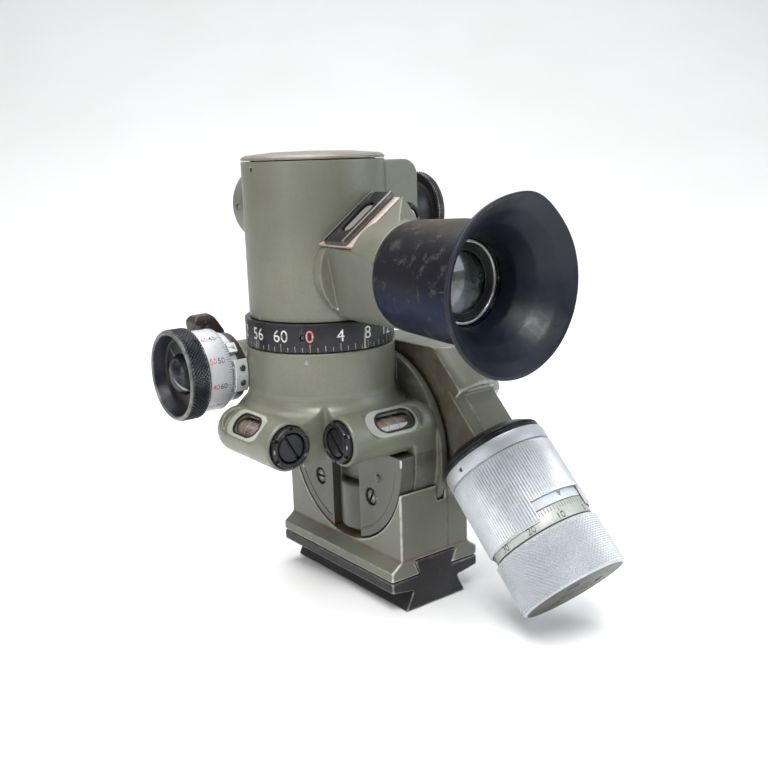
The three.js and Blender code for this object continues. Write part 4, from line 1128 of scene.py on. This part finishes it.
# eyepiece block, with the seat of the lamp shoe on its upper left
UPPER_LEFT = shift(0, 0, EYE_Z) @ spin(-SHOE_TURN, "Y")
corner = moved(prism("z", [(-6, -12), (-6, -52), (6.6, -52), (19.8, -41), (19.8, -12)], -2, 15.8), UPPER_LEFT)
neck = rod("y", (0, EYE_Z), 17.3, -54.2, -12, 144)
above_seat = [moved(box((-40, 40), (-41, 0), (14.4, 40)), UPPER_LEFT) for _ in range(2)]
relief = moved(prism("y", [(-60, -60), (0, -60), (0, 60), (-60, 60)], -90, 0),
               shift(-7.8, 0, EYE_Z) @ spin(-0.18, "Y") @ spin(-0.14, "Z"))
shaped = join(
    cut(join(neck, corner), above_seat[0], relief),
    cut(rod("y", (0.5, EYE_Z - 0.5), 16.1, -24.6, -12, 144), above_seat[1]),
)
eye_block = cut(
    join(cut(shaped, tube_room()), rod("y", (0, EYE_Z), 12, -24, -15, 96)),
    rod("y", (0, EYE_Z), 8.6, -60, 0, 96),
)
redo("eyepiece_block", cast(eye_block, 0.32, 3), sharp=None)

pad = cut(moved(box((-5.6, 19), (-40, -14), (14.7, 15.6)), UPPER_LEFT), tube_room())
redo("shoe_pad", bevelled(pad, 0.2, 2), "pad")
shoe = cut(
    box((-5.5, 19.5), (-37, -25.6), (15.9, 17.4)),
    moved(slot_tool(4.6, 2.7, 15, 18, 7), shift(0, SHOE_SLOT_Y, 0)),
)
shoe = cut(bevelled(shoe, 0.25, 2), prism("z", [(21, -29), (21, -24), (14, -24), (17.4, -26.6)], 15, 18))
rails = [box((-5.5, 19.5), (y0, y1), (17.2, 17.9)) for y0, y1 in ((-37, -35.9), (-26.7, -25.6))]
redo("lamp_shoe", moved(join(shoe, *[bevelled(r, 0.15, 2) for r in rails]), UPPER_LEFT))
strip = moved(slot_tool(4.3, 2.2, 15.9, 16.5, 7), UPPER_LEFT @ shift(0, SHOE_SLOT_Y, 0))
redo("shoe_window", strip, "frosted")

tube = turned(
    "y", (0, EYE_Z),
    [
        (10.9, -54.5), (10.9, -75.6), (13, -75.6), (13, -78.1), (18.2, -78.1), (18.2, -90.2), (18.7, -90.2),
        (18.7, -76), (17.6, -56), (17.2, -54.5), (10.9, -54.5),
    ],
    200, 0.35,
)
redo("eyepiece_barrel", tube, "blued")
# The eye lens carries a painted reflection over painted dark shade.
redo("eye_lens", lens((0, EYE_Z), 10.7, -73.2, 1.4, 1.2), "lens_painted_reflection", sharp=40)
keeper = turned(
    "y", (0, EYE_Z),
    [(11.5, -75.9), (11.5, -77.3), (11.9, -77.8), (12.7, -77.8), (12.7, -75.9), (11.5, -75.9)], 144, 0.2,
)
redo("eye_lens_retainer", keeper)
inner = [(9.4, -75.9), (9.4, -76.3)]
for k in range(4):
    inner += [(9.6 + 0.42 * k, -76.4 - 0.28 * k), (9.9 + 0.42 * k, -76.3 - 0.28 * k)]
inner += [(11.3, -77.4), (11.3, -75.9), (9.4, -75.9)]
piece("eye_lens_stop", turned("y", (0, EYE_Z), inner, 144, 0.05, 1), "head", "blackened", None, (), SIGHT)
rubber = turned(
    "y", (0, EYE_Z),
    [
        (13.2, -78.4), (14.2, -84), (17.5, -90), (21.5, -95), (25.2, -98.2), (25.9, -98.4), (26.2, -97.9),
        (26, -97.2), (22.6, -94.0), (19.4, -91), (18.7, -90.5), (18, -90.2), (18, -84.3), (15.9, -84.3),
        (15.9, -78.4), (13.2, -78.4),
    ],
    200, 0.8, 4,
)
for v in rubber.data.vertices:
    across, rise = v.co.x, v.co.z - EYE_Z
    turn = degrees(atan2(rise, across))
    fold = 0.046 * exp(-((turn - 71) / 17) ** 2) - 0.012 * exp(-((turn - 112) / 20) ** 2)
    out = 1 + fold * min(1, max(0, (-v.co.y - 88) / 9))
    v.co.x, v.co.z = across * out, EYE_Z + rise * out
redo("rubber_eyecup", rubber, sharp=50)

# ---------------------------------------------------------------- azimuth drive

RIM_X = -48.3                       # outer rim of the micrometer knob
band = [(16.6, RIM_X + 1.4 + 5.8 * k / 9) for k in range(10)]
before = [
    (0, RIM_X + 0.8), (2.2, RIM_X + 0.95), (4.2, RIM_X + 1.5), (5.9, RIM_X + 2.5), (7.0, RIM_X + 3.7),
    (7.6, RIM_X + 4.9), (12.4, RIM_X + 4.9), (13.2, RIM_X + 4.4), (14.3, RIM_X + 1.2), (14.8, RIM_X + 0.3),
    (15.3, RIM_X), (15.8, RIM_X + 0.1), (16.2, RIM_X + 0.5), (16.4, RIM_X + 0.9),
]
after = [(16.3, -40.9), (15.9, -40.4), (15.2, -40.1), (0, -40.1)]
knob = knurled("x", MICRO, before, band, after, 148, 0.42)
redo("azimuth_micrometer_knob", knob, "blue_black", sharp=26)
drum = turned(
    "x", MICRO,
    [(4, -39.8), (MICRO_R, -39.8), (MICRO_R, -31.2), (13.4, -31.2), (13.4, -37.3), (4, -37.3), (4, -39.8)],
    200, 0.15, 2,
)
redo("azimuth_micrometer_drum", drum)
FORTY_AT = 120.9                    # degrees round the drum at which the black 40 stands
marks, blacks, reds = [], [], []
for i in range(100):
    angle = radians(FORTY_AT + 3.6 * i)
    length = 2.2 if i % 10 == 0 else (1.8 if i % 5 == 0 else 1.35)
    marks.append((angle, -31.25 - length, -31.25, 0.24))
blacks.append(ticks("x", MICRO, MICRO_R, marks))
for i in range(10):
    angle = radians(FORTY_AT + 36 * i)
    for kept, number, station in ((blacks, 40 + i * 10, -34.9), (reds, 60 - i * 10, -38.0)):
        text = str(number % 100)
        kept.append(wrapped(text, 2.0, "x", MICRO, MICRO_R, angle, station, ("along", 1), ("turn", -1), 0.04))
piece("azimuth_micrometer_figures", merged(*blacks), "azimuth_drive", "satin", "ink", (), SIGHT, 0)
piece("azimuth_micrometer_red_figures", merged(*reds), "azimuth_drive", "satin", "red", (), SIGHT, 0)

bush = join(
    turned("x", MICRO, [(3.9, -30.6), (13, -30.6), (13, -27.6), (3.9, -27.6), (3.9, -30.6)], 120, 0.3),
    ring("x", MICRO, 3.9, 5, -30, -11, 64),
)
redo("azimuth_worm_bush", bush)


def about_micro(r, deg):
    a = radians(deg)
    return (MICRO[0] + r * cos(a), MICRO[1] + r * sin(a))


sector = prism("x", [MICRO] + [about_micro(22, deg) for deg in range(160, 206, 5)], -40, 0)
clamp = both(ring("x", MICRO, 13.3, 15.6, -30.4, -25.2, 144), sector)
clamp = cut(clamp, *[rod("x", about_micro(14.4, deg), 0.75, -31, -29.4, 20) for deg in (168, 198)])
piece("azimuth_worm_bush_block", cast(clamp, 0.2, 5), "sight", "satin", None, (), SIGHT, None)
for i, deg in enumerate((172, 192)):
    screw = turned("z", (-27.6, 0), [(0, 14.8), (1.15, 14.8), (1.15, 15.8), (0.8, 16.1), (0, 16.1)], 40, 0.1)
    screw = cut(screw, box((-29, -26), (-0.2, 0.2), (15.7, 17)))
    lay = shift(0, *MICRO) @ spin(radians(deg - 90), "X")
    piece(f"bush_block_screw_{i + 1}", moved(screw, lay), "sight", "screws", None, (), SIGHT)
band = ring("x", MICRO, 13.4, MICRO_R, -30.7, -27.5, 200)
wedge = prism("x", [MICRO, (4.5, 108.2), (-2, 112.3), (-0.4, 102.2)], -60, 0)
redo("micrometer_index_plate", bevelled(both(band, wedge), 0.12, 2))
tip = radians(140.5)
piece(
    "micrometer_index_mark", wedge_mark("x", MICRO, MICRO_R + 0.02, (tip, -30.6), (tip, -28.3), radians(3.4)),
    "sight", "index_white", "ink", (), SIGHT, 0,
)

hub = ring("x", MICRO, 9.4, 12.6, -27.2, -24.3, 96)
paddle = [
    (7, 94.7), (13.6, 93.3), (16.8, 101.4), (16.4, 103.2), (15, 104.6), (12.6, 105), (10.4, 104.6),
    (9.2, 103),
]
lever = prism("x", [(MICRO[0] + along, z) for along, z in paddle], -34, -20)
side = [
    (-32.6, 90), (-32.6, 102.6), (-31.4, 104.4), (-25.6, 105), (-24, 103.6), (-21.2, 98.6), (-21, 96),
    (-21, 90),
]
lever = both(lever, prism("y", side, 20, 50))
lever = cut(lever, rod("x", MICRO, 9.4, -60, 0, 96), rod("x", MICRO, 17.4, -60, -27.2, 120))
lever = cast(join(hub, lever), 0.28, 6)
redo("azimuth_release_lever", lever, "lever", sharp=None)

# ---------------------------------------------------------------- stage, light, camera


def backdrop():
    """Pale floor that curves up behind the sight."""
    verts, faces = [], []
    path = [(-1.8, 0.0), (0.45, 0.0)]
    for i in range(1, 25):
        a = pi / 2 * i / 24
        path.append((0.45 + 1.4 * sin(a), 1.4 * (1 - cos(a))))
    path.append((1.85, 3.6))
    forward = Vector((0.612, 0.791, 0))
    side = Vector((0.791, -0.612, 0))
    for along, up in path:
        for lateral in (-3.2, 3.2):
            p = forward * along + side * lateral
            verts.append((p.x, p.y, up - 0.0004))
    for k in range(len(path) - 1):
        a = 2 * k
        faces.append((a, a + 1, a + 3, a + 2))
    mesh = bpy.data.meshes.new("backdrop")
    mesh.from_pydata(verts, [], faces)
    for poly in mesh.polygons:
        poly.use_smooth = True
    mat, tree, shader = tree_of("backdrop")
    tone = noise(tree, object_coords(tree), 3, 3)
    tone = ramp(tree, tone, [(0.3, (0.83, 0.83, 0.82)), (0.7, (0.87, 0.87, 0.865))])
    feed(tree, shader, Base_Color=tone, Roughness=0.85)
    mesh.materials.append(mat)
    linked("backdrop", mesh)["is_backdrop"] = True


backdrop()


def area(name, place, target, size, power, color=(1, 1, 1)):
    light = bpy.data.lights.new(name, "AREA")
    light.shape = "RECTANGLE"
    light.size, light.size_y = size
    light.energy = power
    light.color = color
    ob = linked(name, light)
    ob.location = place
    ob.rotation_euler = (Vector(target) - Vector(place)).to_track_quat("-Z", "Y").to_euler()


area("key", (-0.42, -0.50, 0.95), (0, 0, 0.09), (0.45, 0.45), 13)
area("side", (-0.95, -0.15, 0.45), (0, 0, 0.09), (0.4, 0.6), 2.6)
area("fill", (0.65, -0.80, 0.50), (0, 0, 0.08), (0.5, 0.8), 4.5, (0.84, 0.92, 1.0))
area("top", (-0.05, 0.2, 1.0), (0, 0, 0.08), (0.7, 0.7), 8)
area("back", (0.5, 0.7, 2.6), (1.1, 1.5, 0.5), (2.2, 2.2), 20)

world = bpy.data.worlds.new("world")
scene.world = world
world.use_nodes = True
feed(world.node_tree, world.node_tree.nodes["Background"], Color=(0.93, 0.96, 1.0), Strength=0.30)

camera = linked("camera", bpy.data.cameras.new("camera"))
axes = Matrix.Identity(4)
right = Vector((0.78641, -0.61703, -0.02875))
up = Vector((0.16563, 0.16580, 0.97215))
ahead = Vector((0.59508, 0.76927, -0.23259))
for column, vector in enumerate((right, up, -ahead)):
    for row in range(3):
        axes[row][column] = vector[row]
axes.translation = Vector((-0.21455, -0.28489, 0.16139))
camera.matrix_world = axes
camera.data.lens = 45.24
camera.data.sensor_width = 36
scene.camera = camera
scene.view_settings.view_transform = "Standard"

{"at_load": size_at_load, "before_finish": plain_bounds(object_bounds())}
